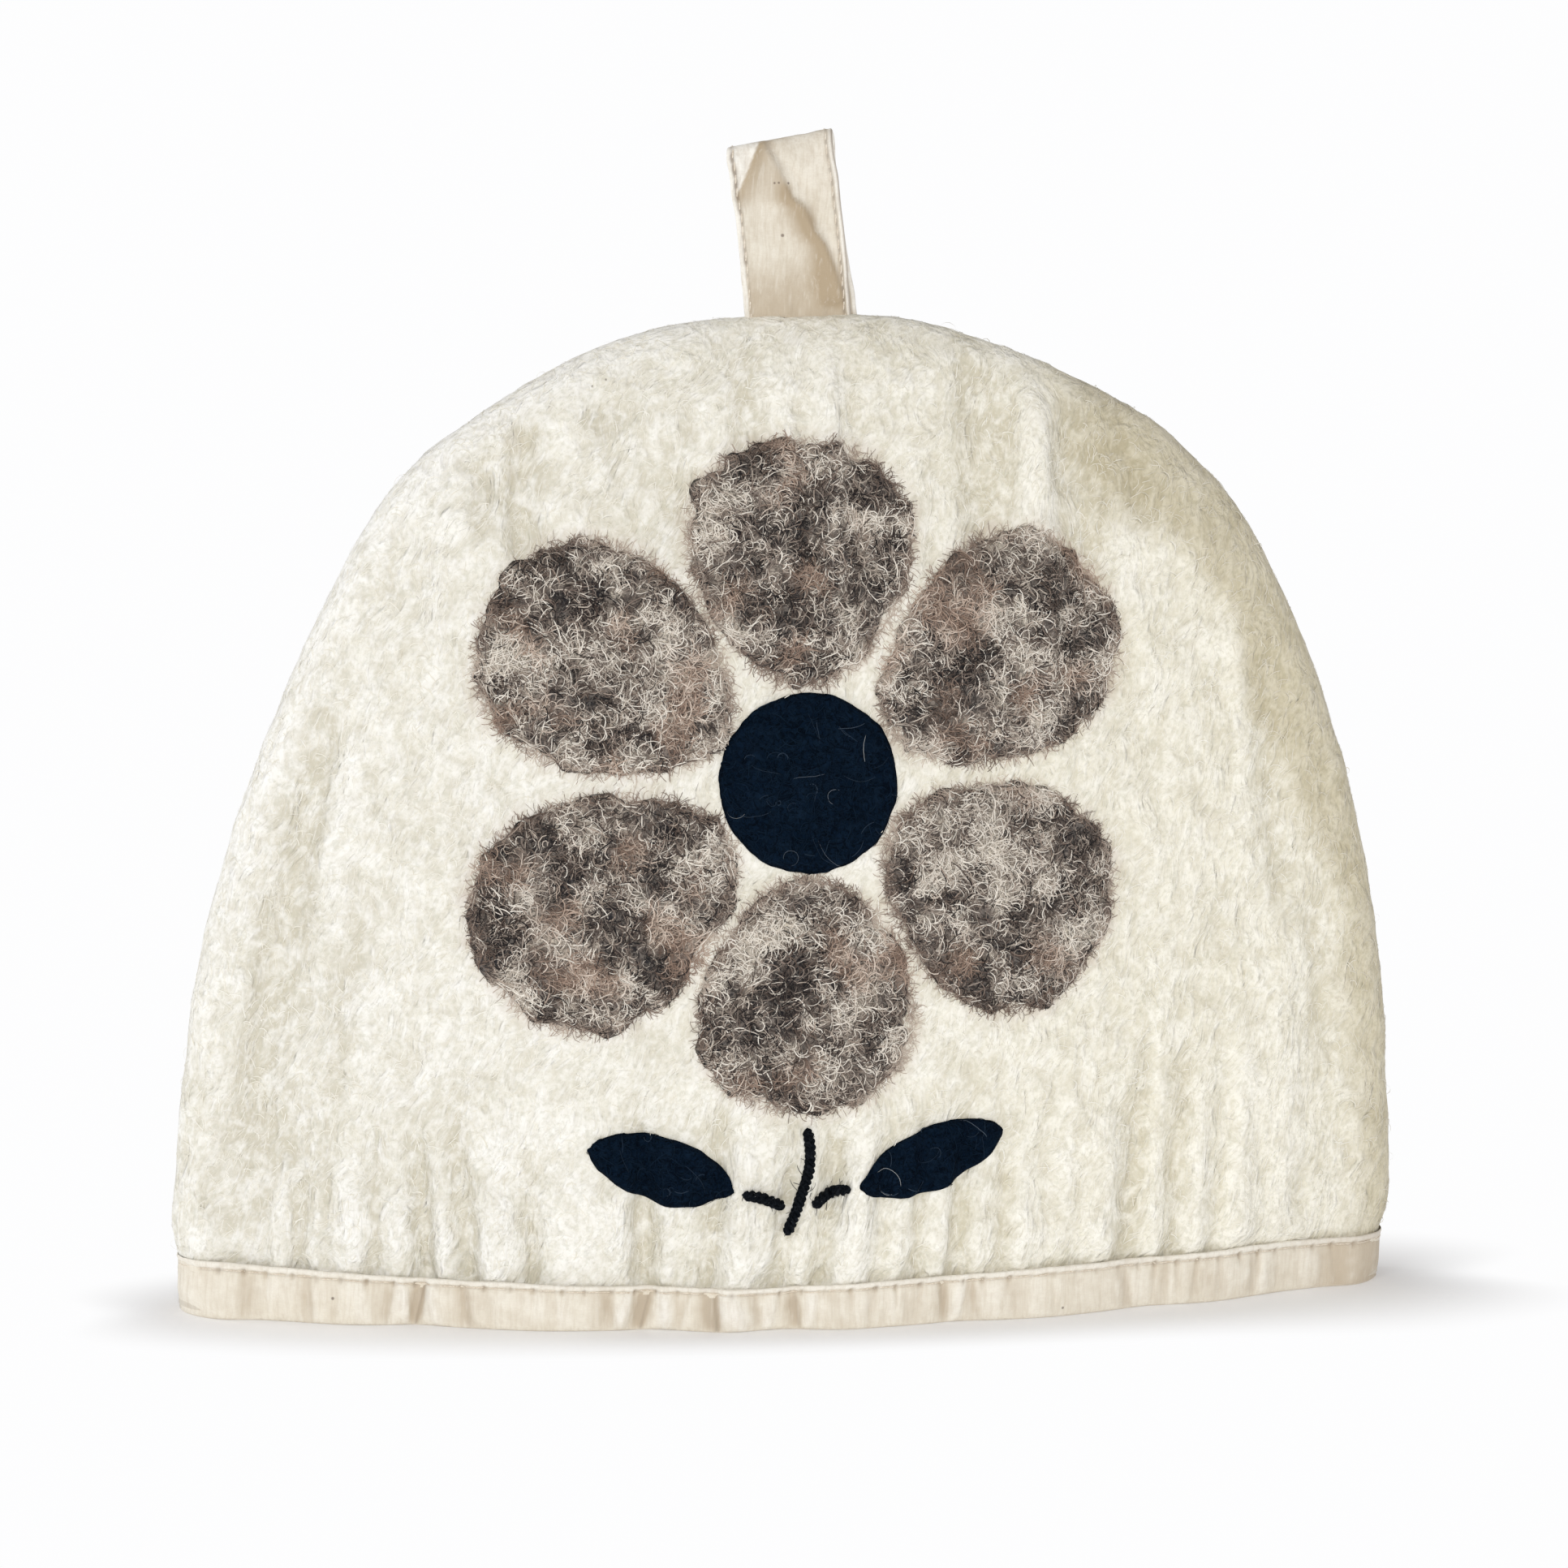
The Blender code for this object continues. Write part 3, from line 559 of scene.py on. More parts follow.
def fleece_paint():
    paint = Paint("fleece_mottled", 0.97, 0.15, 0.5, (1.0, 0.93, 0.86))
    patch = paint.attribute("patch")
    warm = paint.attribute("warm")
    stops = (
        (0.0, (0.030, 0.030, 0.034)), (0.25, (0.090, 0.074, 0.068)), (0.5, (0.20, 0.162, 0.140)),
        (0.72, (0.37, 0.315, 0.265)), (1.0, (0.70, 0.64, 0.545)),
    )
    colour = paint.tinted(paint.ramp(patch, stops), warm, 0.5, (0.36, 0.235, 0.175))
    tufts = paint.noise(1.7, 3.0, 0.65, 0.9)
    tangle = paint.tangle(2.8, 0.05, 4, 9.0)
    colour = paint.layers(colour, (tufts, 0.35, 0.55, 0.75, 0.0, (0.012, 0.010, 0.010)))
    colour = paint.tinted(colour, tangle, 0.40, (0.42, 0.37, 0.33))
    return paint.finish(colour, paint.bumps((tufts, 1.3, 1.0), (tangle, 0.4, 1.0)))


def fibre_grain(paint, colour, dark):
    """The colour a little darker in fine grains."""
    fine = paint.noise(1.0, 1.0, 0.5)
    return paint.mix(0.3, colour, paint.ramp(fine, ((0.3, (dark, dark, dark)), (0.7, (1.0, 1.0, 1.0)))), "MULTIPLY")


def fleece_fibre_paint():
    paint = Paint("fleece_fibre", 0.75, 0.15, 0.4, (1.0, 0.95, 0.9))
    tone = paint.attribute("tone")
    warm = paint.attribute("warm")
    stops = (
        (0.0, (0.011, 0.010, 0.012)), (0.25, (0.060, 0.049, 0.045)), (0.5, (0.25, 0.205, 0.178)),
        (0.72, (0.52, 0.455, 0.39)), (1.0, (0.89, 0.84, 0.76)),
    )
    colour = paint.tinted(paint.ramp(tone, stops), warm, 0.55, (0.55, 0.385, 0.295))
    return paint.finish(fibre_grain(paint, colour, 0.5))


def navy_paint():
    paint = Paint("felt_navy_blue", 0.97, specular=0.04)
    cloud = paint.noise(5.0, 3.0, 0.6, 0.5)
    tufts = paint.noise(1.4, 3.0, 0.6, 0.8, (5, 9, 2))
    tangle = paint.tangle(2.4, 0.05, 3, 4.0)
    colour = paint.ramp(cloud, ((0.3, (0.0018, 0.0065, 0.016)), (0.7, (0.0040, 0.0115, 0.026))))
    colour = paint.layers(colour, (tufts, 0.38, 0.52, 0.7, 0.0, (0.0008, 0.002, 0.0045)))
    colour = paint.tinted(colour, tangle, 0.30, (0.008, 0.019, 0.036))
    return paint.finish(colour, paint.bumps((tufts, 0.8, 1.0), (tangle, 0.25, 1.0)))


def navy_fibre_paint():
    paint = Paint("felt_navy_fibre", 0.9, specular=0.04)
    stops = (
        (0.0, (0.0015, 0.004, 0.010)), (0.6, (0.006, 0.015, 0.030)),
        (0.8, (0.05, 0.07, 0.10)), (1.0, (0.50, 0.51, 0.50)),
    )
    return paint.finish(fibre_grain(paint, paint.ramp(paint.attribute("tone"), stops), 0.6))


def yarn_paint():
    paint = Paint("yarn_black_wool", 0.9, specular=0.06)
    tufts = paint.noise(0.9, 3.0, 0.6, 0.6)
    tangle = paint.tangle(1.6, 0.06, 2, 3.0)
    colour = paint.ramp(tufts, ((0.35, (0.0012, 0.0018, 0.003)), (0.65, (0.005, 0.0075, 0.011))))
    colour = paint.tinted(colour, tangle, 0.3, (0.03, 0.034, 0.042))
    return paint.finish(colour, paint.bumps((tufts, 0.3, 1.0), (tangle, 0.15, 1.0)))


def cotton_paint(name, light, dark, shadow, spots):
    """Plain-weave cotton, a little streaky upward, with a few specks at the given places."""
    paint = Paint(name, 0.88, 0.10, 0.5, (1.0, 0.98, 0.93))
    broad = paint.noise(17.0, 2.0, 0.5, 0.4)
    mottle = paint.noise(3.2, 2.0, 0.55, 0.3, (3, 8, 0))
    slub = paint.brushed(0.9, 9.0, 0.0, paint.warped(12.0, 0.8), 2.0, 0.6)
    weave = paint.noise(0.55, 1.0, 0.5, 0.0, (0, 0, 0), (0.35, 0.35, 1.6))
    grain = paint.noise(0.5, 2.0, 0.7)
    colour = paint.ramp(broad, ((0.32, dark), (0.68, light)))
    # low: painted shade in creases, under folds, on sides turned from the light, toward the ends and foot, and on
    # inner faces
    colour = paint.mix(paint.attribute("low"), colour, shadow)
    # pale: painted highlight on lit ridges, the rolled lip and the lit parts of the loop's fold
    colour = paint.tinted(colour, paint.attribute("pale"), 0.95, (0.97, 0.955, 0.905))
    colour = paint.layers(
        colour,
        (mottle, 0.34, 0.6, 0.16, 0.0, shadow),
        (slub, 0.34, 0.56, 0.20, 0.0, shadow), (slub, 0.54, 0.72, 0.0, 0.22, (0.90, 0.87, 0.80)),
        (weave, 0.36, 0.64, 0.06, 0.0, shadow), (grain, 0.35, 0.65, 0.07, 0.0, shadow),
    )
    # hole: painted shade in needle holes, along grooves and crease bottoms, and in the gaps at edges
    colour = paint.tinted(colour, paint.attribute("hole"), 0.8, (0.26, 0.205, 0.155))
    for x, z, radius in spots:
        colour = paint.tinted(colour, paint.spot(x, z, radius), 0.75, (0.16, 0.12, 0.10))
    return paint.finish(colour, paint.bumps((mottle, 0.30, 0.7), (slub, 0.16, 0.7), (grain, 0.05, 0.7)))


def thread_paint():
    paint = Paint("stitch_thread", 0.7, 0.1, 0.4)
    twist = paint.noise(0.6, 2.0, 0.6)
    colour = paint.ramp(twist, ((0.3, (0.62, 0.53, 0.42)), (0.7, (0.88, 0.82, 0.72))))
    return paint.finish(colour, paint.bumps((twist, 0.08, 0.8)))


# Half length and half depth, in metres, of the oval under the hem round which the floor's painted shadow lies, and how
# far that painted shadow fades
FLOOR_SHADOW_OVAL = (0.168, 0.036)
FLOOR_SHADOW_FADE = 0.0235


def floor_paint():
    """Pale and matte close to the hem, where its glow is dimmed into a painted shadow round the hem that reaches
    further on the right; past that it only glows, evenly, so no edge of it shows.
    """
    paint = Paint("floor_pale", 0.95, specular=0.0)
    long, deep = FLOOR_SHADOW_OVAL
    ring = paint.vector("LENGTH", paint.moved((0, 0, 0), (1 / long, 1 / deep, 0.0)))
    steep = paint.vector("LENGTH", paint.moved((0, 0, 0), (1 / long**2, 1 / deep**2, 0.0)))
    away = paint.math("DIVIDE", paint.math("MULTIPLY", paint.math("SUBTRACT", ring, 1.0), ring), steep)
    side = paint.vector("DOT_PRODUCT", paint.place, (1.0, 0.0, 0.0))
    # The floor's painted shadow reaches further on the right
    away = paint.math("MULTIPLY", away, paint.span(side, 0.06, 0.17, 1.0, 0.64))
    colour = paint.mix(paint.span(away, 0.0, FLOOR_SHADOW_FADE), (0.86, 0.86, 0.87), (0.0, 0.0, 0.0))
    paint.put(paint.shader.inputs["Emission Color"], (0.985, 0.985, 0.99))
    # The glow is dimmed to 0.14 at the hem, a painted shadow, and is full from about 24 mm off
    paint.put(paint.shader.inputs["Emission Strength"], paint.span(away, 0.0, FLOOR_SHADOW_FADE, 0.14, 1.0))
    return paint.finish(colour)


# ---------------------------------------------------------------- felt hood
OUTER_RINGS = 128
INNER_RINGS = 64
RIM_INSET = 7.5
RIM_RINGS_SHARE = 0.1
RIPPLE_GAIN = 1.85
OUTLINE_SAMPLES = 6001
# How wide the painted shade along the felt's right edge, the side turned from the light, is: (z, width)
PAINTED_SHADE_WIDTHS = (
    (0, 8), (34, 9), (54, 11), (79, 12), (104, 12.5), (128, 14.5), (153, 19), (178, 24), (210, 27),
    (235, 24), (256, 16),
)


def outline_points(count):
    """count + 1 even points of the outline from the left end of the hem over the top to the right."""
    first = math.asin((HEM_Z / HEIGHT) ** (TOP_POWER / 2.0))
    turn = np.linspace(math.pi - first, first, OUTLINE_SAMPLES)
    cosine = np.cos(turn)
    x = np.sign(cosine) * np.abs(cosine) ** (2.0 / SIDE_POWER)
    z = HEIGHT * np.sin(turn) ** (2.0 / TOP_POWER)
    x = x * side_reach(z)
    scale = outline_scale(x, z)
    return resampled(np.stack([x * scale, z * scale], axis=1), count)


def inset_outline(points, inset):
    run = np.zeros_like(points)
    run[1:-1] = points[2:] - points[:-2]
    run[0] = (0.0, 1.0)
    run[-1] = (0.0, -1.0)
    run = unit(run)
    moved = points + np.stack([run[:, 1], -run[:, 0]], axis=1) * inset
    moved[0, 1] = HEM_Z
    moved[-1, 1] = HEM_Z
    return moved


def hood_places(rings):
    """(x, z) of each grid vertex of one side, and whether it lies on the rim."""
    outline = outline_points(4 * rings)
    near_rim = max(3, round(rings * RIM_RINGS_SHARE))
    spread = rings - near_rim
    inner = inset_outline(outline, RIM_INSET)
    middle = np.array([0.0, HEM_Z])
    grid = np.meshgrid(np.arange(-rings, rings + 1), np.arange(rings + 1))
    columns, rows = (places.ravel() for places in grid)
    ring = np.maximum(np.abs(columns), rows)
    index = np.where(columns == -ring, rows, np.where(rows == ring, 2 * ring + columns, 4 * ring - rows))
    places = np.zeros((len(ring), 2))
    for k in range(rings + 1):
        chosen = ring == k
        if k > spread:
            share = (rings - k) / near_rim
            full = inset_outline(outline, RIM_INSET * share * share)
        else:
            full = middle + (inner - middle) * (k / spread)
        places[chosen] = full[np.round(index[chosen] * rings / max(k, 1)).astype(int)]
    return places, ring == rings


def hood_middle(rings, front_folds, back_folds):
    """The middle surface of the felt, closed over the rim: points, quads and its hem loop."""
    places, on_rim = hood_places(rings)
    x, z = places.T
    front = np.stack([x, np.where(on_rim, 0.0, -half_depth(x, z, front_folds)), z], axis=1)
    back = np.stack([x, half_depth(x, z, back_folds), z], axis=1)[~on_rim]
    points = np.concatenate([front, back])
    back_index = np.arange(len(front))
    back_index[~on_rim] = len(front) + np.arange(len(back))
    quads = grid_quads(2 * rings + 1, rings + 1)
    both = np.concatenate([quads, back_index[quads][:, ::-1]])
    bottom = np.arange(2 * rings + 1)
    loop = np.concatenate([bottom, back_index[bottom[::-1]][1:-1]])
    return points, both, loop


def felt_lumps(points):
    """How far the felt's own unevenness stands out."""
    lumps = 0.8 * noise(points, 32.0, 1.0) + 0.62 * noise(points, 13.0, 2.0)
    lumps += 0.36 * noise(points, 6.5, 3.0) + 0.12 * noise(points, 3.6, 4.0)
    push = np.stack([noise(points, 18.0, 6.0), 0 * points[:, 0], noise(points, 18.0, 7.0)], axis=1)
    lean = points + 6.0 * push
    brushed = np.stack([lean[:, 0] - 0.2 * lean[:, 2], points[:, 1], 0.36 * lean[:, 2]], axis=1)
    lumps += 0.50 * noise(brushed, 4.8, 8.0)
    puff = 0.9 * bell((points[:, 2] - 21.0) / 7.0) * (1.0 + 0.5 * noise(points, 16.0, 5.0))
    calm = 0.15 + 0.85 * smooth_step((points[:, 2] - 13.0) / 6.0)
    inside = fullness(points[:, 0], points[:, 2])[1]
    return (lumps * (0.45 + 0.55 * smooth_step(inside / 0.12)) + puff) * calm


def ripple_relief(points, ripples):
    x, y, z = points.T
    inside = fullness(x, z)[1]
    free = smooth_step((z - 7.0) / 8.0) * smooth_step(inside / FOLD_FADE)
    return RIPPLE_GAIN * fold_bulge(x, z, ripples) * free


def crease_shade_and_fold_highlight(relief):
    """How much painted shade a place gets deep in a crease of the felt, and how much painted highlight high on a fold,
    both 0 to 1.
    """
    return smooth_step((0.30 - relief) / 1.6), smooth_step((relief - 0.25) / 1.2)


def rim_distance(x, z):
    """About how far inside the outline a place lies, in mm."""
    scale = outline_scale(x, z)
    across = np.abs(x) / scale / side_reach(z)
    up = np.maximum(z, 0.0) / scale / HEIGHT
    inside = np.maximum(0.0, 1.0 - across**SIDE_POWER - up**TOP_POWER)
    side_slope = SIDE_POWER * across ** (SIDE_POWER - 1.0) / HALF_WIDTH
    return inside / np.maximum(np.hypot(side_slope, TOP_POWER * up ** (TOP_POWER - 1.0) / HEIGHT), 1e-4)


def painted_shade_edge(points):
    """1 where painted shade darkens the felt along its right edge, the side turned from the light."""
    x, _, z = points.T
    width = np.interp(z, *zip(*PAINTED_SHADE_WIDTHS)) * (1.0 + 0.35 * noise(points, 24.0, 91.0))
    return smooth_step((width + 7.0 - rim_distance(x, z)) / 14.0) * smooth_step((x - 50.0) / 26.0)


def painted_lit_edge(points):
    """1 where a painted highlight makes the felt palest, along its lit left edge."""
    x, _, z = points.T
    beside = smooth_step((8.0 - rim_distance(x, z)) / 6.0) * smooth_step((-x - 20.0) / 30.0)
    return beside * smooth_step((z - 60.0) / 70.0)


def petal_halo(points):
    """1 on the felt beside a petal, where some of its wool has worked in, 0 from 4 mm off."""
    x, y, z = points.T
    near = np.zeros(len(x))
    for _, angle_deg, reach, length, width in PETAL_ROWS:
        turn = math.radians(angle_deg)
        along = ((x - FLOWER_X) * math.cos(turn) + (z - FLOWER_Z) * math.sin(turn) - reach) / length
        across = ((z - FLOWER_Z) * math.cos(turn) - (x - FLOWER_X) * math.sin(turn)) / width
        share = np.hypot(along, across / (1.0 + PETAL_EGG * np.clip(along, -1.0, 1.0)))
        near = np.maximum(near, smooth_step((1.16 - share) / 0.14))
    return np.clip(near * (0.6 + 0.8 * noise(points, 4.0, 92.0)), 0.0, 1.0) * (y < 0.0)


def gripped(middle, relief):
    """The relief of the felt, held in where the binding grips it."""
    at, heights = np.array(BINDING_HEIGHTS).T
    over = np.maximum(0.0, middle[:, 2] - np.interp(middle[:, 0], at, heights) + 0.6)
    return np.minimum(relief, 0.25 + 0.6 * over)


def build_hood(material):
    """The felt as one closed sheet, finer outside than inside."""
    middle, quads, loop = hood_middle(OUTER_RINGS, FRONT_FOLDS, BACK_FOLDS)
    normals = vertex_normals(middle, quads)
    is_front = middle[:, 1] <= 0.0
    x, _, z = middle.T
    ripples = np.where(is_front, ripple_relief(middle, FRONT_RIPPLES), ripple_relief(middle, BACK_RIPPLES))
    folds = np.where(is_front, fold_bulge(x, z, FRONT_FOLDS), fold_bulge(x, z, BACK_FOLDS))
    lumps = felt_lumps(middle)
    relief = gripped(middle, ripples + lumps)
    outer = middle + normals * (FELT_THICKNESS / 2 + relief)[:, None]
    outer[loop, 2] = HEM_Z
    core, core_quads, core_loop = hood_middle(INNER_RINGS, FRONT_FOLDS, BACK_FOLDS)
    core_normals = vertex_normals(core, core_quads)
    inner = core - core_normals * (FELT_THICKNESS / 2 + 0.4 * noise(core, 9.0, 6.0))[:, None]
    inner[core_loop, 2] = HEM_Z
    points = np.concatenate([outer, inner])
    inner_quads = core_quads[:, ::-1] + len(outer)
    inner_loop = core_loop + len(outer)
    near = loop[0::2]
    between = loop[1::2]
    far = np.roll(near, -1)
    following = np.roll(inner_loop, -1)
    corners = ((near, inner_loop, between), (between, inner_loop, following), (between, following, far))
    bridge = np.concatenate([np.stack(triangles, axis=1) for triangles in corners])
    hollow_shade, painted_highlight = crease_shade_and_fold_highlight(ripples + 0.55 * folds + 0.35 * lumps)
    # A painted shadow in the hollow just above the binding
    hollow_shade = np.maximum(hollow_shade, 0.8 * bell((z - 14.6) / 1.5))
    # The painted highlight along the lit left edge
    painted_highlight = np.maximum(painted_highlight, 1.4 * painted_lit_edge(middle))
    none = np.zeros(len(inner))
    # The inside of the felt gets an even painted shade
    values = {
        "hollow_shade": np.concatenate([hollow_shade, np.full(len(inner), 0.4)]),
        "painted_highlight": np.concatenate([painted_highlight, none]),
        "shade": np.concatenate([painted_shade_edge(middle) * (1.0 - 0.5 * painted_highlight), none]),
        "halo": np.concatenate([petal_halo(middle), none]),
        "cream": smooth_step((points[:, 0] + 130.0) / 260.0),
    }
    obj = make_mesh("hood", points, [quads, inner_quads, bridge], material, True, values)
    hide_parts("felt_body")
    return obj, outer, quads


# ---------------------------------------------------------------- fibres
# Fibres in each layer of the fleece, along the edge of each petal, and on the yarn
FLEECE_FIBRES = 13700
EDGE_FIBRES = 1500
YARN_FIBRES = 420


def scatter(points, quads, keep, count, rng):
    """Random points on the kept quads, evenly by area."""
    chosen = quads[keep]
    a, b, c, d = (points[chosen[:, i]] for i in range(4))
    area = np.linalg.norm(np.cross(c - a, d - b), axis=1)
    pick = rng.choice(len(chosen), count, p=area / area.sum())
    u = rng.random((count, 1))
    v = rng.random((count, 1))
    low = a[pick] * (1 - u) + b[pick] * u
    high = d[pick] * (1 - u) + c[pick] * u
    return low * (1 - v) + high * v


def grow(tree, starts, rng, steps, length, curl, flow=None, scatter_by=(0.2, 1.4), own_faces=None):
    """Walks each fibre over the surface. Gives its points and normals, steps + 1 rows of each,
    and the share of its steps that lie past the first own_faces faces."""
    count = len(starts)
    stride = length * rng.uniform(0.55, 1.45, count) / steps
    turn = rng.normal(0.0, 1.0, count) * curl
    heading = None
    outside = np.zeros(count)
    position = starts.copy()
    path = np.zeros((steps + 1, count, 3))
    normals = np.zeros((steps + 1, count, 3))
    for step in range(steps + 1):
        for i in range(count):
            place, normal, face, _ = tree.find_nearest(position[i])
            path[step, i] = place
            normals[step, i] = normal
            outside[i] += own_faces is not None and face >= own_faces
        if heading is None:
            side = unit(np.cross(normals[0], rng.normal(size=(count, 3))))
            if flow is not None:
                wanted = flow(path[0])
                wanted = wanted - normals[0] * np.einsum("ij,ij->i", wanted, normals[0])[:, None]
                side = unit(unit(wanted) + side * rng.uniform(*scatter_by, (count, 1)))
            heading = side
        heading = heading - normals[step] * np.einsum("ij,ij->i", heading, normals[step])[:, None]
        heading = unit(heading)
        bend = (turn + rng.normal(0.0, 0.35, count) * curl) * stride
        sideways = np.cross(normals[step], heading)
        heading = heading * np.cos(bend)[:, None] + sideways * np.sin(bend)[:, None]
        position = path[step] + heading * stride[:, None]
    return path, normals, outside / (steps + 1)


def either(rng, count, chance, rare, common):
    """For each fibre a number from the range called rare, by the given chance, or from the common one."""
    return np.where(rng.random(count) < chance, rng.uniform(*rare, count), rng.uniform(*common, count))


def ribbons(name, slot_name, material, path, normals, lift, widths, arch, rolls, keep=None, **values):
    """One mesh of thin flat fibres along the kept paths, their ends tucked in."""
    if keep is not None:
        path, normals = path[:, keep], normals[:, keep]
        widths, arch, rolls = widths[keep], arch[keep], rolls[keep]
        values = {key: numbers[keep] for key, numbers in values.items()}
    steps, count = path.shape[0] - 1, path.shape[1]
    along = np.linspace(0.0, 1.0, steps + 1)[:, None]
    height = lift + arch * np.sin(np.pi * along) ** 0.7
    height = height - (0.12 + lift) * (np.abs(2 * along - 1) ** 6)
    centre = path + normals * height[..., None]
    run = unit(np.gradient(centre, axis=0))
    side = unit(np.cross(normals, run))
    side = side * np.cos(rolls)[:, None] + np.cross(run, side) * np.sin(rolls)[:, None]
    taper = np.clip(1.25 - np.abs(2 * along - 1) ** 4, 0.3, 1.0)
    half = side * (widths * taper * 0.5)[..., None]
    points = np.stack([centre - half, centre + half], axis=2).transpose(1, 0, 2, 3).reshape(-1, 3)
    start = (np.arange(count) * (steps + 1) * 2)[:, None] + (np.arange(steps) * 2)[None, :]
    quads = start.ravel()[:, None] + np.array([0, 1, 3, 2])
    looks = {key: np.repeat(numbers, (steps + 1) * 2) for key, numbers in values.items()}
    make_mesh(name, points, [quads], material, True, looks)


def joined(parts):
    """The points and quads of several meshes as one."""
    points, quads = zip(*parts)
    bases = np.cumsum([0] + [len(part) for part in points[:-1]])
    return np.concatenate(points), np.concatenate([part + base for part, base in zip(quads, bases)])


def tree_of(points, quads):
    return BVHTree.FromPolygons(points.tolist(), quads.tolist())


def nap_flow(points):
    """The way the felt's nap is brushed: mostly upward, leaning to the right."""
    angle = 1.15 + 0.8 * noise(points, 42.0, 63.0) + 0.7 * noise(points, 13.0, 64.0)
    return np.stack([np.cos(angle), np.zeros(len(angle)), np.sin(angle)], axis=1)


def felt_fibres(outer, quads, material):
    """Loose wool on the felt: more on the front, some all round."""
    tree = tree_of(outer, quads)
    centre = outer[quads].mean(axis=1)
    half = len(quads) // 2
    is_front = np.arange(len(quads)) < half
    above = centre[:, 2] > 15.5
    for name, keep, count, seed in (
        ("hood_fuzz_front", is_front & above, 12500, 21),
        ("hood_fuzz_back", ~is_front & above, 4800, 22),
    ):
        rng = np.random.default_rng(seed)
        starts = scatter(outer, quads, keep, count, rng)
        path, normals, _ = grow(tree, starts, rng, 4, 3.7, 0.30, nap_flow, (0.1, 0.9))
        tones = np.clip(0.60 + 0.15 * rng.normal(size=count) + 0.2 * noise(starts, 14.0, 8.0), 0.0, 1.0)
        # The fibres get the same painted shade along the right edge
        tones = tones * (1.0 - 0.85 * painted_shade_edge(starts))
        widths = rng.uniform(0.12, 0.26, count)
        arch = either(rng, count, 0.04, (0.5, 1.5), (0.02, 0.22))
        rolls = rng.normal(0.0, 0.25, count)
        ribbons(name, "felt_cream", material, path, normals, 0.04, widths, arch, rolls, tone=tones)


# ---------------------------------------------------------------- cloth patches
def disc_grid(cells):
    """Shares of the radius and angles of a square grid bent into a disc, its quads and its rim."""
    line = np.linspace(-1, 1, cells + 1)
    u, v = (grid.ravel() for grid in np.meshgrid(line, line))
    share = np.maximum(np.abs(u), np.abs(v))
    wide = np.abs(u) > np.abs(v)
    with np.errstate(divide="ignore", invalid="ignore"):
        first = math.pi / 4 * v / u + np.where(u > 0, 0.0, math.pi)
        second = math.pi / 2 - math.pi / 4 * u / v + np.where(v > 0, 0.0, math.pi)
    angle = np.where(wide, first, np.where(share > 0, second, 0.0))
    return share, np.nan_to_num(angle), grid_quads(cells + 1, cells + 1), share > 1 - 1e-9


def turned(x, z, along, across, angle_deg):
    cosine = math.cos(math.radians(angle_deg))
    sine = math.sin(math.radians(angle_deg))
    return x + along * cosine - across * sine, z + along * sine + across * cosine


# How far the underside of a patch lies over the felt
PATCH_UNDERSIDE = 0.25


def patch_mesh(name, shape, cells, profile, ragged, seed, material, values=None):
    """A closed cloth patch on the front: shape(share, angle) gives (x, z), profile its height."""
    share, angle, quads, rim = disc_grid(cells)
    ring = np.stack([np.cos(angle) * 30.0, np.sin(angle) * 30.0, np.full(len(angle), seed * 7.0)], axis=1)
    rough = 1.2 * noise(ring, 10.0, seed) + 0.5 * noise(ring, 4.5, seed + 1) + 0.25 * noise(ring, 2.2, seed + 2)
    reach = share * (1.0 + ragged * rough * share**3)
    x, z = shape(reach, angle)
    flat = np.stack([x, np.zeros_like(x), z], axis=1)
    top = on_front(x, z, profile(share, flat))
    bottom = on_front(x, z, PATCH_UNDERSIDE)
    under = np.arange(len(share))
    under[~rim] = len(share) + np.arange((~rim).sum())
    points = np.concatenate([top, bottom[~rim]])
    looks = {key: make(points) for key, make in (values or {}).items()}
    return make_mesh(name, points, [quads, under[quads][:, ::-1]], material, True, looks), points, quads


def petal_shape(angle_deg, reach, half_length, half_width):
    def shape(share, angle):
        along = reach + share * half_length * np.cos(angle)
        swell = 1.0 + PETAL_EGG * np.cos(angle)
        across = share * half_width * np.sin(angle) * swell
        return turned(FLOWER_X, FLOWER_Z, along, across, angle_deg)

    return shape


def centre_shape(share, angle):
    radius = share * CENTRE_RADIUS
    return FLOWER_X + radius * np.cos(angle), FLOWER_Z + radius * np.sin(angle)


def leaf_shape(x, z, angle_deg, half_length, half_width):
    def shape(share, angle):
        along = share * half_length * np.cos(angle)
        across = share * half_width * np.sin(angle) * np.abs(np.sin(angle)) ** 0.35
        return turned(x, z, along, across, angle_deg)

    return shape


def fleece_patch(points):
    """0 for the darkest wool to 1 for the palest, in soft patches."""
    flat = np.asarray(points) * np.array([1.0, 0.3, 1.0])
    value = 0.44 + 0.40 * noise(flat, 27.0, 31.0) + 0.50 * noise(flat, 11.0, 32.0) + 0.54 * noise(flat, 5.0, 33.0)
    value += 0.56 * noise(flat, 2.4, 37.0)
    pale = smooth_step((noise(flat, 12.0, 34.0) - 0.30) / 0.25)
    ink = smooth_step((noise(flat, 14.0, 35.0) - 0.36) / 0.22)
    return np.clip(value + 0.72 * pale - 0.55 * ink, 0.0, 1.0)


def fleece_warm(points):
    flat = np.asarray(points) * np.array([1.0, 0.3, 1.0])
    return smooth_step((noise(flat, 13.0, 36.0) - 0.25) / 0.35)


def fleece_profile(share, flat):
    crown = 0.35 + 2.1 * (1.0 - share**3.6) ** 0.8
    lumps = 0.75 * noise(flat, 8.5, 41.0) + 0.40 * noise(flat, 4.2, 42.0) + 0.2 * noise(flat, 2.4, 43.0)
    return crown + lumps * (1.0 - share**8)


def felt_profile(share, flat):
    crown = 0.6 + 1.5 * (1.0 - share**12) ** 0.5
    return crown + 0.16 * noise(flat, 5.0, 44.0) + 0.10 * noise(flat, 2.2, 45.0)


def lay(patch, solid):
    """Hides the solid that a cloth patch replaces. Gives its points and top quads."""
    obj, points, quads = patch
    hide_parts(solid)
    return points, quads


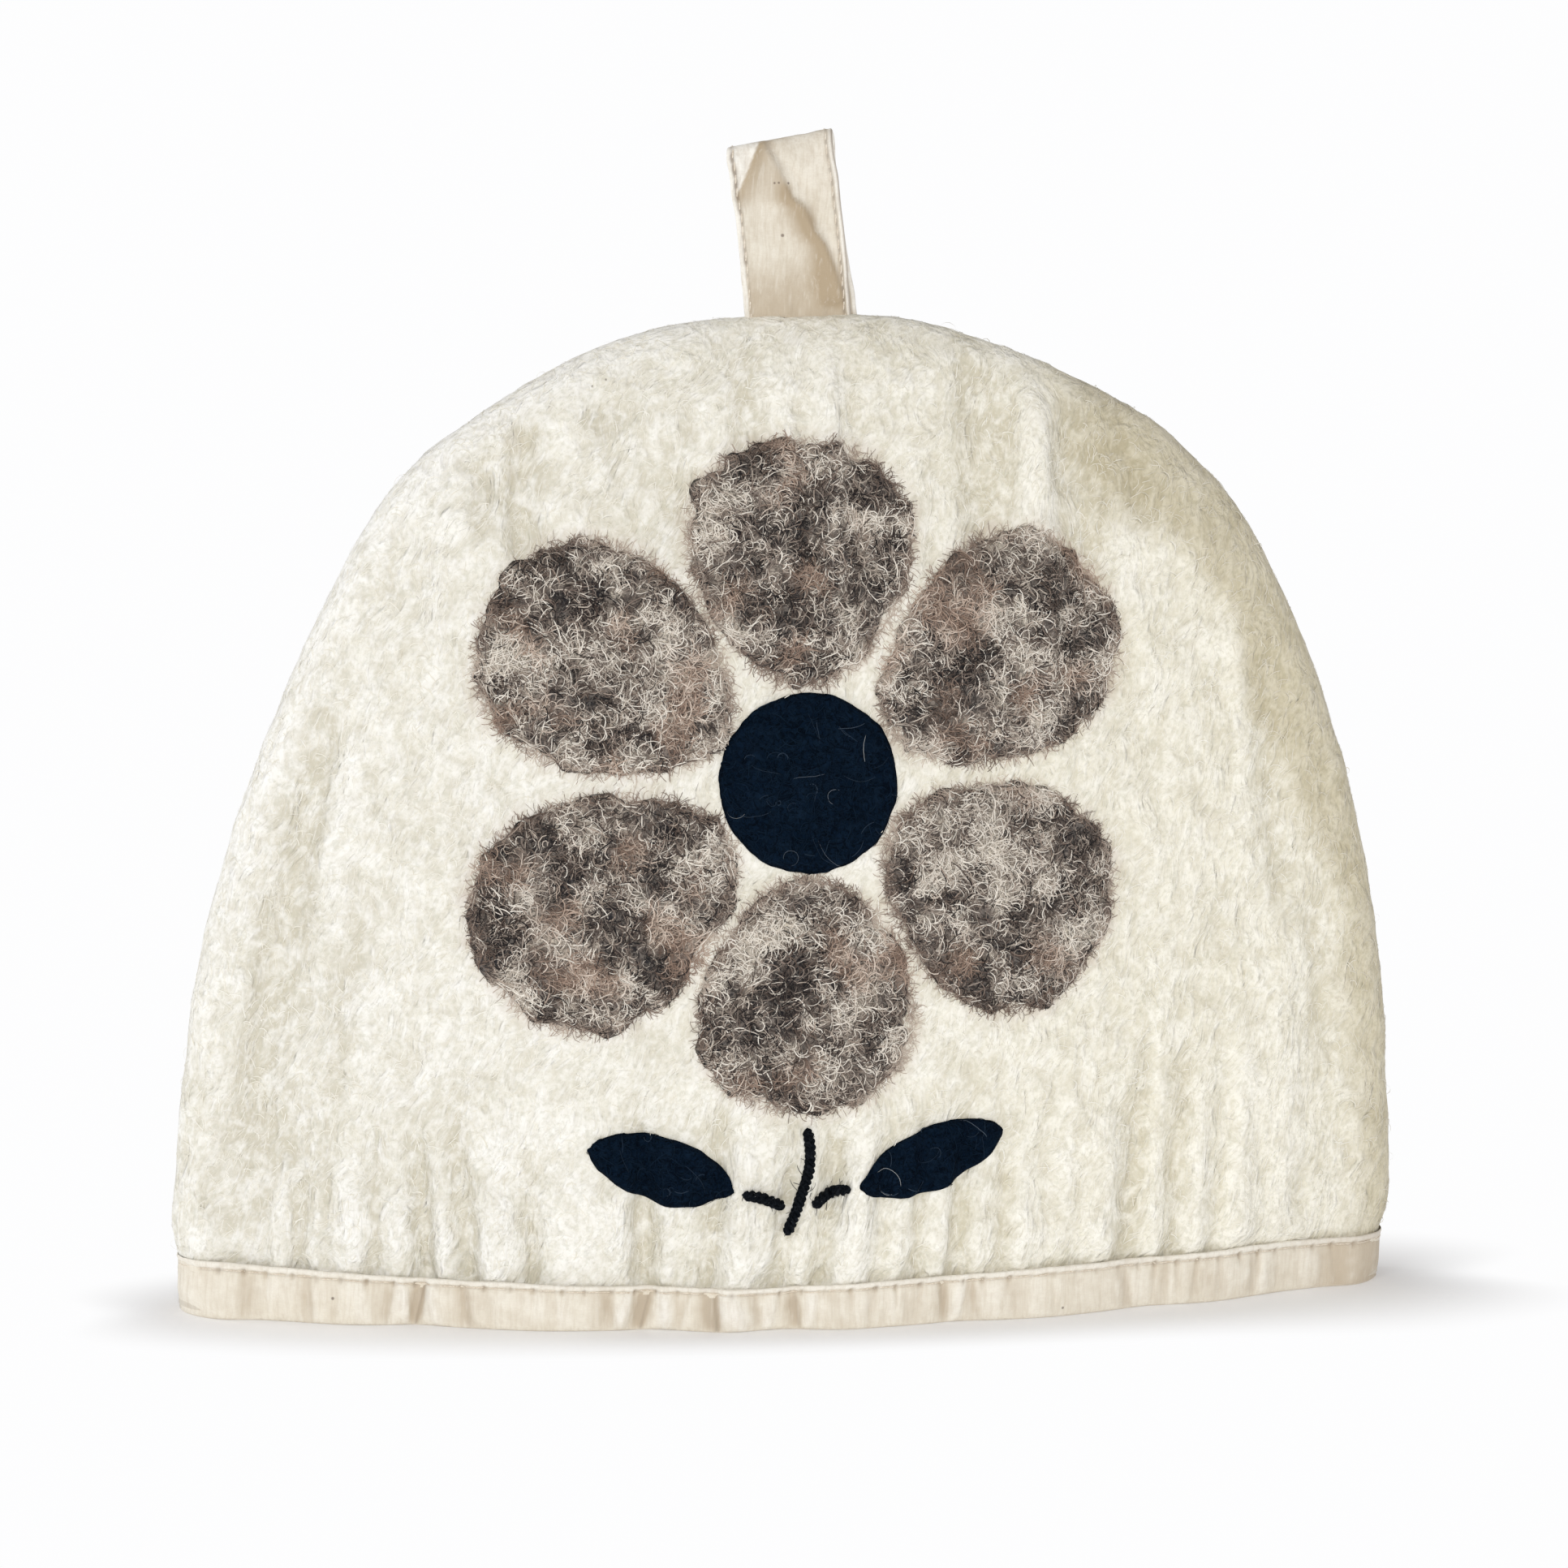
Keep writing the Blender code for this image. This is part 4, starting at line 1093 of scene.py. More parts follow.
def build_flower(fleece, navy):
    """Petals, centre and leaves. Gives the points and top quads of the fleece and of the felt."""
    looks = {"patch": fleece_patch, "warm": fleece_warm}
    fleece_tops = []
    for row, (name, angle, reach, length, width) in enumerate(PETAL_ROWS):
        shape = petal_shape(angle, reach, length, width)
        piece = name.replace("petal", "fleece")
        patch = patch_mesh(piece, shape, 56, fleece_profile, 0.075, 50.0 + 3 * row, fleece, looks)
        fleece_tops.append(lay(patch, name))
    patch = patch_mesh("navy_centre", centre_shape, 44, felt_profile, 0.02, 80.0, navy)
    felt_tops = [lay(patch, "flower_centre")]
    for row, (name, x, z, angle, length, width) in enumerate(LEAF_ROWS):
        shape = leaf_shape(x, z, angle, length, width)
        piece = name.replace("leaf", "navy_leaf")
        patch = patch_mesh(piece, shape, 32, felt_profile, 0.02, 90.0 + 3 * row, navy)
        felt_tops.append(lay(patch, name))
    return fleece_tops, felt_tops


def fleece_flow(points):
    angle = 3.4 * noise(points, 17.0, 61.0) + 2.2 * noise(points, 6.5, 62.0)
    return np.stack([np.cos(angle), np.zeros(len(angle)), np.sin(angle)], axis=1)


def wool_tones(starts, rng, spread):
    tones = np.clip(fleece_patch(starts) + 0.12 + spread * rng.normal(size=len(starts)), 0.0, 1.0)
    warm = np.clip(fleece_warm(starts) + 0.2 * rng.normal(size=len(starts)), 0.0, 1.0)
    return tones, warm


def fleece_fibres(fleece_tops, hood, material):
    """Wool on the petals. Few fibres leave them, and those at an edge mostly run along it."""
    points, quads = joined(fleece_tops)
    tree = tree_of(*joined(fleece_tops + [hood]))
    everywhere = np.ones(len(quads), bool)
    for name, seed, length, curl in (("fleece_wool_under", 71, 5.4, 0.34), ("fleece_wool_over", 72, 4.6, 0.48)):
        count = FLEECE_FIBRES
        rng = np.random.default_rng(seed)
        starts = scatter(points, quads, everywhere, count, rng)
        path, normals, strayed = grow(tree, starts, rng, 6, length, curl, fleece_flow, (0.15, 0.9), len(quads))
        tones, warm = wool_tones(starts, rng, 0.30)
        widths = rng.uniform(0.12, 0.30, count)
        arch = either(rng, count, 0.07, (0.8, 1.6), (0.1, 0.8))
        rolls = rng.normal(0.0, 0.5, count)
        arch = np.where(strayed > 0.0, 0.35 * arch, arch)
        tones = np.where(strayed > 0.0, 0.7 * tones + 0.15, tones)
        ribbons(
            name, "fleece_taupe", material, path, normals, 0.1, widths, arch, rolls, strayed < 0.40,
            tone=tones, warm=warm,
        )
    rng = np.random.default_rng(75)
    starts = []
    runs = []
    for _, angle_deg, reach, length, width in PETAL_ROWS:
        shape = petal_shape(angle_deg, reach, length, width)
        turn = rng.uniform(0.0, 2.0 * math.pi, EDGE_FIBRES)
        share = 0.985 - 0.035 * np.abs(rng.normal(size=EDGE_FIBRES))
        x, z = shape(share, turn)
        ahead_x, ahead_z = shape(share, turn + 0.05)
        out_x, out_z = shape(share + 0.05, turn)
        starts.append(on_front(x, z, 1.0))
        along = unit(np.stack([ahead_x - x, 0.0 * x, ahead_z - z], axis=1))
        out = unit(np.stack([out_x - x, 0.0 * x, out_z - z], axis=1))
        aim = rng.uniform(-1.35, 1.35, EDGE_FIBRES)[:, None]
        runs.append(out * np.cos(aim) + along * np.sin(aim))
    starts = np.concatenate(starts)
    runs = np.concatenate(runs)
    count = len(starts)
    path, normals, _ = grow(tree, starts, rng, 6, 3.9, 0.42, lambda _: runs, (0.1, 0.6))
    tones, warm = wool_tones(starts, rng, 0.14)
    arch = rng.uniform(0.02, 0.3, count)
    widths = rng.uniform(0.09, 0.19, count)
    rolls = rng.normal(0.0, 0.4, count)
    ribbons(
        "fleece_wool_edge", "fleece_taupe", material, path, normals, 0.07, widths, arch, rolls,
        tone=0.6 * tones + 0.18, warm=0.4 + 0.6 * warm,
    )


def navy_fibres(felt_tops, hood, material):
    """Short wool on the navy felt, and a few long pale strays."""
    tree = tree_of(*joined(felt_tops + [hood]))
    points, quads = joined(felt_tops)
    everywhere = np.ones(len(quads), bool)
    rng = np.random.default_rng(73)
    for name, count, steps, curl, length, wide, high in (
        ("navy_wool", 900, 8, 0.5, 5.0, (0.16, 0.26), (0.02, 0.25)),
        ("navy_wool_pale", 34, 14, 0.24, 8.0, (0.09, 0.16), (0.1, 0.6)),
    ):
        starts = scatter(points, quads, everywhere, count, rng)
        path, normals, strayed = grow(tree, starts, rng, steps, length, curl, own_faces=len(quads))
        if name.endswith("pale"):
            tones = rng.uniform(0.62, 0.92, count)
        else:
            tones = np.clip(0.30 + 0.2 * rng.normal(size=count), 0.0, 0.7)
        widths = rng.uniform(*wide, count)
        arch = rng.uniform(*high, count)
        rolls = rng.normal(0.0, 0.4, count)
        ribbons(name, "felt_navy", material, path, normals, 0.1, widths, arch, rolls, strayed < 0.1, tone=tones)


# ---------------------------------------------------------------- yarn
# Height of the yarn's middle over the felt, mm to a turn, and offset and radius of a ply
YARN_LIFT = 1.35
YARN_TWIST = 4.6
PLY_OFFSET = 0.72
PLY_RADIUS = 0.86


def smooth_path(points, count):
    """Catmull-Rom through the points, count + 1 even samples, and its length."""
    points = np.asarray(points, float)
    padded = np.concatenate([[2 * points[0] - points[1]], points, [2 * points[-1] - points[-2]]])
    dense = []
    for i in range(len(points) - 1):
        t = np.linspace(0, 1, 30, endpoint=False)[:, None]
        a, b, c, d = padded[i : i + 4]
        dense.append(0.5 * (2 * b + (c - a) * t + (2 * a - 5 * b + 4 * c - d) * t**2 + (3 * b - a - 3 * c + d) * t**3))
    dense = np.concatenate(dense + [points[-1:]])
    return resampled(dense, count), arc(dense)[-1]


def tube(centre, frame_side, frame_up, radius, sides):
    """Points and quads of a tube along centre, open at its thin ends."""
    turn = np.linspace(0, 2 * math.pi, sides, endpoint=False)[:, None]
    ring = frame_side[:, None] * np.cos(turn) + frame_up[:, None] * np.sin(turn)
    points = centre[:, None] + ring * radius[:, None, None]
    return points.reshape(-1, 3), grid_quads(sides, len(centre), wrap_across=True)


def stitch(centre, out, share, radius):
    """One stitch of thread along centre, thinner toward its ends."""
    run = unit(np.gradient(centre, axis=0))
    side = unit(np.cross(run, out))
    return tube(centre, side, np.cross(side, run), radius * np.clip(1.3 - np.abs(2 * share - 1) ** 3, 0.35, 1.0), 5)


def build_yarn(name, places, material):
    """Three plies twisted together, a little uneven. Gives its points and quads."""
    path, length = smooth_path(places, max(24, int(arc(places)[-1] / 0.45)))
    centre = on_front(*path.T, YARN_LIFT)
    run = unit(np.gradient(centre, axis=0))
    side = unit(np.cross(run, front_normals(*path.T)))
    up = np.cross(side, run)
    along = np.linspace(0.0, length, len(path))
    fat = 1.0 + 0.10 * noise_line(along, 3.0, 101.0 + len(places))
    ends = np.clip(np.minimum(along, length - along) / 1.4, 0.0, 1.0) ** 0.5
    plies = []
    for ply in range(3):
        angle = along / YARN_TWIST * 2 * math.pi + ply * 2 * math.pi / 3 + 0.4 * noise_line(along, 6.0, 104.0)
        offset = (side * np.cos(angle)[:, None] + up * np.sin(angle)[:, None]) * PLY_OFFSET
        plies.append(tube(centre + offset * ends[:, None], side, up, PLY_RADIUS * fat * np.maximum(ends, 0.08), 8))
    points, quads = joined(plies)
    obj = make_mesh("yarn_" + name, points, [quads], material)
    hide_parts(name)
    return points, quads


def yarn_fuzz(yarns, hood, material):
    tree = tree_of(*joined(yarns + [hood]))
    points, quads = joined(yarns)
    rng = np.random.default_rng(74)
    count = YARN_FIBRES
    starts = scatter(points, quads, np.ones(len(quads), bool), count, rng)
    path, normals, _ = grow(tree, starts, rng, 6, 3.2, 0.5)
    tones = either(rng, count, 0.05, (0.85, 0.95), (0.0, 0.3))
    widths = rng.uniform(0.10, 0.2, count)
    arch = rng.uniform(0.05, 0.3, count)
    rolls = rng.normal(0.0, 0.6, count)
    ribbons("yarn_fuzz", "yarn_black", material, path, normals, 0.05, widths, arch, rolls, tone=tones)


# ---------------------------------------------------------------- hem binding
BINDING_AROUND = 1400
HEM_SAMPLES = 2400
# Section of the folded strip, round from its outer lip: (offset from the felt's middle, height)
BINDING_SECTION = (
    (2.75, 13.3), (3.0, 13.95), (3.45, 14.25), (3.95, 14.1), (4.15, 13.6), (3.95, 13.0), (3.62, 12.45),
    (3.55, 12.1), (3.75, 11.6), (3.95, 10.8), (3.95, 9.2), (3.9, 7.4), (3.85, 5.4), (3.75, 3.4), (3.6, 1.8),
    (3.3, 0.7), (2.8, 0.12), (2.2, 0.0), (0.0, 0.0), (-2.4, 0.0), (-3.1, 0.25), (-3.5, 1.2), (-3.6, 3.4),
    (-3.6, 7.0), (-3.7, 10.6), (-3.45, 11.6), (-3.8, 12.4), (-3.65, 13.2), (-2.75, 13.0), (-2.45, 8.0),
    (-2.4, 1.8), (0.0, 1.1), (2.4, 1.8), (2.45, 8.0),
)
# Deep puckers in the front of the binding: (x, width, depth)
BINDING_PUCKERS = (
    (-150, 1.8, 0.4), (-134, 1.8, 0.6), (-121, 2.6, -0.4), (-114.4, 1.6, 0.7), (-110.2, 1.8, -0.8),
    (-105.8, 2.1, 1.8), (-101.6, 2, -0.9), (-94, 2, 0.8), (-88, 1.6, 0.3), (-72, 1.6, 0.3), (-58, 1.8, 0.6),
    (-54, 1.8, -0.8), (-48.6, 2.7, 1.6), (-42.2, 2, -1.2), (-37.8, 1.5, 0.5), (-30.2, 2.3, 1.9),
    (-25.4, 2.4, -1.1), (-20, 1.4, 0.6), (-16.2, 1.6, -0.6), (-8.6, 2.1, 1.1), (-4.2, 1.6, -0.8),
    (2.3, 1.5, 0.4), (10.9, 1.5, 0.4), (20.7, 1.5, 0.4), (31.6, 1.7, 0.7), (36, 1.7, -0.6),
    (40.6, 1.6, 0.6), (62, 1.6, 0.3), (84, 1.9, 0.6), (97, 1.6, 0.5), (124, 2, 0.4),
)


def hem_ring(z):
    """BINDING_AROUND points of the felt's middle round the hem at height z, from the left end
    along the front, and outward unit vectors."""
    reach = side_reach(z) * outline_scale(side_reach(z), z)
    reach = reach * (1.0 - (z / HEIGHT) ** TOP_POWER) ** (1.0 / SIDE_POWER)
    x = np.sin(np.linspace(-math.pi / 2, math.pi / 2, HEM_SAMPLES)) * reach
    level = np.full(len(x), float(z))
    front = np.stack([x, -half_depth(x, level, FRONT_FOLDS)], axis=1)
    back = np.stack([x, half_depth(x, level, BACK_FOLDS)], axis=1)[::-1]
    front[0, 1] = front[-1, 1] = back[0, 1] = back[-1, 1] = 0.0
    ring = np.concatenate([resampled(line, BINDING_AROUND // 2)[:-1] for line in (front, back)])
    run = unit(np.roll(ring, -2, axis=0) - np.roll(ring, 2, axis=0))
    outward = np.stack([run[:, 1], -run[:, 0]], axis=1)
    return ring, outward


# Height of the binding along the front: (x, height)
BINDING_HEIGHTS = (
    (-168, 15.1), (-156, 15.7), (-144, 14.8), (-132, 14.6), (-120, 13.9), (-108, 12.9), (-84, 13.1),
    (-60, 12.3), (-36, 12), (-12, 11.8), (12, 12.9), (36, 13.1), (60, 14.2), (96, 14.1), (120, 14.8),
    (144, 14.4), (168, 14.2),
)
# The height in mm at which the section is drawn
BINDING_NOMINAL = 14.2
# Spacing and length of the stitches along the binding, in mm
STITCH_PITCH = 6.4
STITCH_LENGTH = 5.1
# Dark specks in the cloth: (x, z, radius)
BINDING_SPECKS = ((-129.2, 7.3, 0.55), (65.6, 2.6, 0.5))
LOOP_SPECKS = ((-14.5, 285.8, 0.6), (-17.3, 299.2, 0.4), (-16.2, 299.3, 0.4), (-13.4, 299.3, 0.45))
# The rows of the section between which the stitches lie
GROOVE_ROWS = (6, 7)
# How far before a stitch its needle hole lies
HOLE_AHEAD = 0.65


def stitch_starts(total):
    rng = np.random.default_rng(131)
    count = int(total / STITCH_PITCH)
    return np.arange(count) * STITCH_PITCH + rng.uniform(-0.5, 0.5, count)


def gathers(along, below):
    """Little creases that run down from the needle holes. below is mm under the stitch line."""
    rng = np.random.default_rng(135)
    relief = np.zeros(len(along))
    reach = np.exp(-np.maximum(0.0, below) / 4.5) * smooth_step((below + 1.5) / 1.5)
    for start in stitch_starts(along[-1]) - HOLE_AHEAD:
        depth = 0.75 * rng.random() ** 1.3
        lean = rng.uniform(-0.25, 0.25)
        relief -= depth * reach * bell((along - start - lean * below) / 0.75)
    return relief


def needle_holes(along, above):
    """1 at a needle hole; above is mm over the stitch line."""
    rng = np.random.default_rng(136)
    holes = np.zeros(len(along))
    level = math.exp(-((above / 0.75) ** 2))
    for start in stitch_starts(along[-1]) - HOLE_AHEAD:
        holes += level * rng.uniform(0.35, 1.1) * bell((along - start) / rng.uniform(0.45, 0.8))
    return np.minimum(1.0, holes)


def puckers(x, z):
    """How deep the creases across the binding are at x, z mm up it, and how much painted shade lies along the bottom
    of each.
    """
    total = np.zeros(len(x))
    line = np.zeros(len(x))
    for at, width, depth in BINDING_PUCKERS:
        lean = 0.22 * math.sin(2.3 * at)
        off = (x - at - lean * (z - 7.0)) / width
        total += depth * bell(off / np.where(off < 0.0, 1.15, 0.65))
        line = np.maximum(line, (0.42 * depth - 0.15) * bell((off - 0.1) * width / 0.55))
    return total, line


def binding_surface():
    """For each row of the section, points round the hem, with their painted shade, painted highlight, and painted
    shade in needle holes, grooves and creases. Also the run along it in mm and the outward directions."""
    ring, outward = hem_ring(8.0)
    along = arc(ring)
    x = ring[:, 0]
    front = np.arange(BINDING_AROUND) < BINDING_AROUND // 2
    at, heights = np.array(BINDING_HEIGHTS).T
    tall = np.interp(x, at, heights) + 0.12 * noise_line(along, 9.0, 122.0)
    ends = smooth_step((np.abs(x) - 155.0) / 10.0)
    wrinkle = 0.42 * noise_line(along, 8.0, 123.0) + 0.34 * noise_line(along, 3.6, 124.0)
    wrinkle += 0.14 * noise_line(along, 1.9, 125.0)
    fresh = 0.35 + 0.65 * smooth_step((noise_line(along, 45.0, 129.0) + 0.35) / 0.5)
    behind = np.where(front, 0.0, 1.8) * np.maximum(0.0, noise_line(along, 11.0, 126.0) - 0.35)
    run_x = np.gradient(x, along)
    scallop = 0.10 * np.cos(2.0 * math.pi * along / STITCH_PITCH)
    groove = 0.5 * (BINDING_SECTION[GROOVE_ROWS[0]][1] + BINDING_SECTION[GROOVE_ROWS[1]][1])
    rows = []
    looks = []
    for offset, z in BINDING_SECTION:
        ring, outward = hem_ring(max(z, HEM_Z))
        outside = offset > 2.9
        level = z / BINDING_NOMINAL * tall if z > 0.5 else np.full(len(x), z)
        slack = max(0.0, math.sin(math.pi * min(1.0, max(0.0, (z - 0.4) / 12.4)))) ** 0.45 if outside else 0.0
        total, pinch = puckers(x, z)
        pucker = np.where(front, 1.3 * total, behind)
        pinch = np.where(front & outside & (z < groove), pinch, 0.0)
        sway = wrinkle * fresh + 0.25 * noise_line(along + 2.2 * z, 5.0, 127.0)
        relief = slack * (sway - pucker)
        holes = np.zeros(len(x))
        if outside:
            relief = relief + 0.10 * noise_line(along, 4.0, 128.0) + (scallop if z > groove else 0.0)
            relief = relief + gathers(along, groove - z) * fresh
            holes = needle_holes(along, z - groove)
            relief = relief - 0.45 * holes
        if outside and z > 12.0:
            relief = relief - 0.30 * pucker
        inset = 1.2 * ends if outside and z > 1.5 else 0.0
        move = np.maximum(offset + relief - inset, 2.65) if outside else np.full(len(x), float(offset))
        low = max(0.0, 1.0 - z / 5.0)
        move = move - ends * 1.6 * low * low * min(1.0, max(-0.25, offset / 3.6))
        if abs(offset) < 2.9 and z > 1.5:
            move = np.full(len(x), offset)
        points = ring + outward * move[:, None]
        rows.append(np.stack([points[:, 0], points[:, 1], level], axis=1))
        facing = -np.gradient(relief, along) * run_x
        # Rows that are not on the outside get an even painted shade
        if not outside:
            looks.append({"low": np.full(len(x), 0.2), "pale": np.zeros(len(x)), "hole": np.zeros(len(x))})
            continue
        # Painted highlight where the cloth faces the light or stands out
        lit = np.clip(0.6 * np.maximum(0.0, -facing) + 0.55 * relief, 0.0, 0.95)
        # Painted shade along the bottoms of the creases, and a painted shadow line along the top of the lip against
        # the felt
        crease = np.maximum(pinch, 0.22 * smooth_step((-relief - 0.7) / 1.0))
        if offset < 3.2 and z > 13.0:
            crease = np.full(len(x), 0.75)
        # Painted shade toward the right end of the binding
        painted_end_shade = 0.74 * smooth_step((ring[:, 0] - 130.0) / 28.0)
        # A painted shadow line along the stitch groove, and painted shade just under the fold
        line = 0.42 * math.exp(-(((z - groove) / 0.35) ** 2))
        under = 0.16 * smooth_step((groove - z) / 0.3) * math.exp(-max(0.0, groove - z) / 1.2)
        # Painted shade in hollows, on sides turned from the light, under the fold and toward the right end
        low = 0.05 - 0.66 * relief + 0.34 * np.maximum(0.0, facing) + under + painted_end_shade
        # The lip above the groove gets an even painted highlight
        looks.append(
            {
                "low": np.clip(low, 0.0, 0.85),
                "pale": np.full(len(x), 0.5) if z > groove + 0.3 else lit,
                "hole": np.maximum(np.maximum(0.8 * holes, line), crease),
            }
        )
    return rows, looks, along, outward


def build_binding(material, thread):
    rows, looks, along, outward = binding_surface()
    points = np.concatenate(rows)
    quads = grid_quads(BINDING_AROUND, len(rows), wrap_across=True, wrap_along=True)
    values = {name: np.concatenate([look[name] for look in looks]) for name in looks[0]}
    obj = make_mesh("binding", points, [quads[:, ::-1]], material, True, values)
    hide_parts("hem_binding")
    build_stitches(rows, along, outward, thread)


def build_stitches(rows, along, outward, material):
    """Machine stitches lying in the groove under the fold of the binding, front and back."""
    groove = 0.5 * (rows[GROOVE_ROWS[0]] + rows[GROOVE_ROWS[1]])
    rng = np.random.default_rng(132)
    share = np.linspace(0, 1, 8)
    stitches = []
    for start in stitch_starts(along[-1]):
        where = start + STITCH_LENGTH * share
        centre = picked(where, along, groove)
        out = np.concatenate([unit(picked(where, along, outward)), np.zeros((len(share), 1))], axis=1)
        height = 0.20 * np.sin(np.pi * share) ** 0.5 - 0.10
        centre = centre + out * height[:, None]
        centre[:, 2] += rng.uniform(-0.10, 0.10) + rng.uniform(-0.25, 0.25) * (share - 0.5)
        stitches.append(stitch(centre, out, share, 0.19))
    points, quads = joined(stitches)
    make_mesh("binding_stitches", points, [quads], material)


# ---------------------------------------------------------------- hanging loop
LOOP_ALONG = 168
LOOP_EDGE = 2.6
LOOP_EDGE_COLUMNS = 10
LOOP_MIDDLE_COLUMNS = 34
# Where the two rows of stitches run, mm from the middle of the tape
LOOP_SEAMS = (-12.8, 12.3)
LOOP_STITCH_PITCH = 3.3
LOOP_STITCH_LENGTH = 2.6
# The back of the tape lies a little to the right, and the fold at the top slants
LOOP_SKEW = 2.0
LOOP_TOP_SLOPE = 0.062
# Creases of the tape: (width on the left, width on the right, depth, places as x and height)
LOOP_CREASES = (
    (1.6, 3.2, 1.5, ((-5.4, 48.0), (-8.6, 42.0), (-12.6, 35.5))),
    (4.6, 1.2, -1.7, (
        (-4.9, 47.0), (-2.2, 40.1), (0.3, 32.6), (3.2, 30.2), (5.2, 23.8), (8.0, 19.8), (9.8, 12.8), (11.2, 6.5),
    )),
    (1.0, 2.2, 0.45, ((-2.4, 46.0), (3.0, 37.0), (6.4, 29.4), (10.2, 21.4))),
    (2.6, 2.6, -0.30, ((-1.0, 13.4), (8.0, 13.6))),
    (1.6, 1.6, -0.55, ((-3.4, 5.0), (-3.0, -1.0))),
    (1.8, 1.8, -0.60, ((6.4, 6.0), (5.2, -1.0))),
    (2.0, 1.6, 0.25, ((-6.0, 30.0), (-5.0, 18.0))),
)


def loop_placement():
    lean = Matrix.Rotation(-math.radians(LOOP_LEAN_DEG), 4, "Y")
    return np.array(Matrix.Translation(Vector((LOOP_X, 0.0, LOOP_BASE_Z))) @ lean)


def loop_columns():
    """Places across the tape in mm, close together near its edges."""
    inner = LOOP_HALF_WIDTH - LOOP_EDGE
    edge = np.linspace(inner, LOOP_HALF_WIDTH, LOOP_EDGE_COLUMNS + 1)[1:]
    middle = np.linspace(-inner, inner, LOOP_MIDDLE_COLUMNS + 1)
    return np.concatenate([-edge[::-1], middle, edge])


def loop_skew(share):
    """How far to the right the tape lies at a share of its length."""
    return LOOP_SKEW * smooth_step((share - 0.46) / 0.08)


def loop_raised(x, height):
    """How far the slant of the fold lifts the tape."""
    return LOOP_TOP_SLOPE * (x + LOOP_HALF_WIDTH) * smooth_step((height - 22.0) / 26.0)


def crease(x, height, width_left, width_right, places):
    """1 along a line through the places, falling off to each side of it."""
    levels = np.array(places)[::-1]
    levels = levels[np.argsort(levels[:, 1])]
    if levels[-1, 1] - levels[0, 1] < 1.0:
        ends = np.sort(levels[:, 0])
        past = np.maximum(0.0, np.maximum(ends[0] - x, x - ends[1]))
        return np.exp(-(((height - levels[0, 1]) / 1.0) ** 2) - (past / 2.0) ** 2)
    line = np.interp(height, levels[:, 1], levels[:, 0])
    slope = (levels[-1, 0] - levels[0, 0]) / (levels[-1, 1] - levels[0, 1])
    away = (x - line) / math.hypot(1.0, slope)
    past = np.maximum(0.0, np.maximum(levels[0, 1] - height, height - levels[-1, 1]))
    width = np.where(away < 0.0, width_left, width_right)
    return np.exp(-((away / width) ** 2) - (past / 3.0) ** 2)


def loop_relief(x, height, front):
    """How far the tape stands out."""
    relief = np.zeros_like(x)
    for width_left, width_right, depth, places in LOOP_CREASES:
        relief += depth * crease(x, height, width_left, width_right, places)
    return np.where(front, relief, 0.3 * relief)


def loop_looks(x, height, relief, front):
    """Painted shade, painted highlight, and painted shade at stitch holes and edges, for each place of the tape."""
    step = np.abs(np.sin(math.pi * height / LOOP_STITCH_PITCH))
    # Painted shade at the stitch holes of both seams, stronger on the left
    left = bell((x - LOOP_SEAMS[0] + 0.15) / 0.5)
    left = left * (0.35 + 0.65 * smooth_step((height - 15.0) / 5.0) + 0.3 * smooth_step((height - 38.0) / 4.0))
    right = 0.8 * bell((x - LOOP_SEAMS[1]) / 0.42)
    # A painted shadow line along the gap at the tape's right edge
    line = bell((x - 14.0) / 0.34) * (0.8 + 0.2 * smooth_step((height - 42.0) / 2.0))
    hole = (left * (1.0 + 0.9 * noise_line(height + 3.0 * x, 4.0, 145.0)) + right) * (0.35 + 0.65 * step)
    hole = np.where(front, np.maximum(hole, line), 0.6 * hole)
    # Painted shade beside the long groove
    fold = crease(x, height, 4.4, 0.9, LOOP_CREASES[1][3]) * smooth_step((43.0 - height) / 12.0)
    # Two spots of painted shade in the long groove
    groove_shade_spots = np.exp(-(((x - 5.6) / 1.7) ** 2) - ((height - 26.6) / 3.2) ** 2)
    groove_shade_spots += 0.8 * np.exp(-(((x - 0.2) / 1.2) ** 2) - ((height - 33.4) / 2.0) ** 2)
    # Painted shade beside the upper left fold
    soft = crease(x, height, 0.7, 4.2, LOOP_CREASES[0][3])
    # Painted shade, darker toward the foot, beside the creases, and less where the tape stands out
    low = 0.60 * (1.0 - smooth_step((height - 8.0) / 13.0)) + 1.0 * fold + 1.0 * soft + 0.8 * groove_shade_spots
    # The inner face gets an even painted shade
    low = np.where(front, low, 0.35)
    # Painted highlight on the lips beside the seams, the top of the fold and the lit flap at the upper left
    lip = smooth_step((np.abs(x) - 12.9) / 0.4)
    corner = smooth_step((height - 47.6) / 1.0)
    flap = smooth_step((-8.2 - x + (height - 42.0) * 0.62) / 0.8) * smooth_step((height - 33.0) / 3.0)
    pale = np.maximum(np.maximum(0.9 * lip, corner), flap)
    return np.clip(low - 0.1 * relief, 0.0, 1.0), pale, np.clip(hole, 0.0, 1.0)


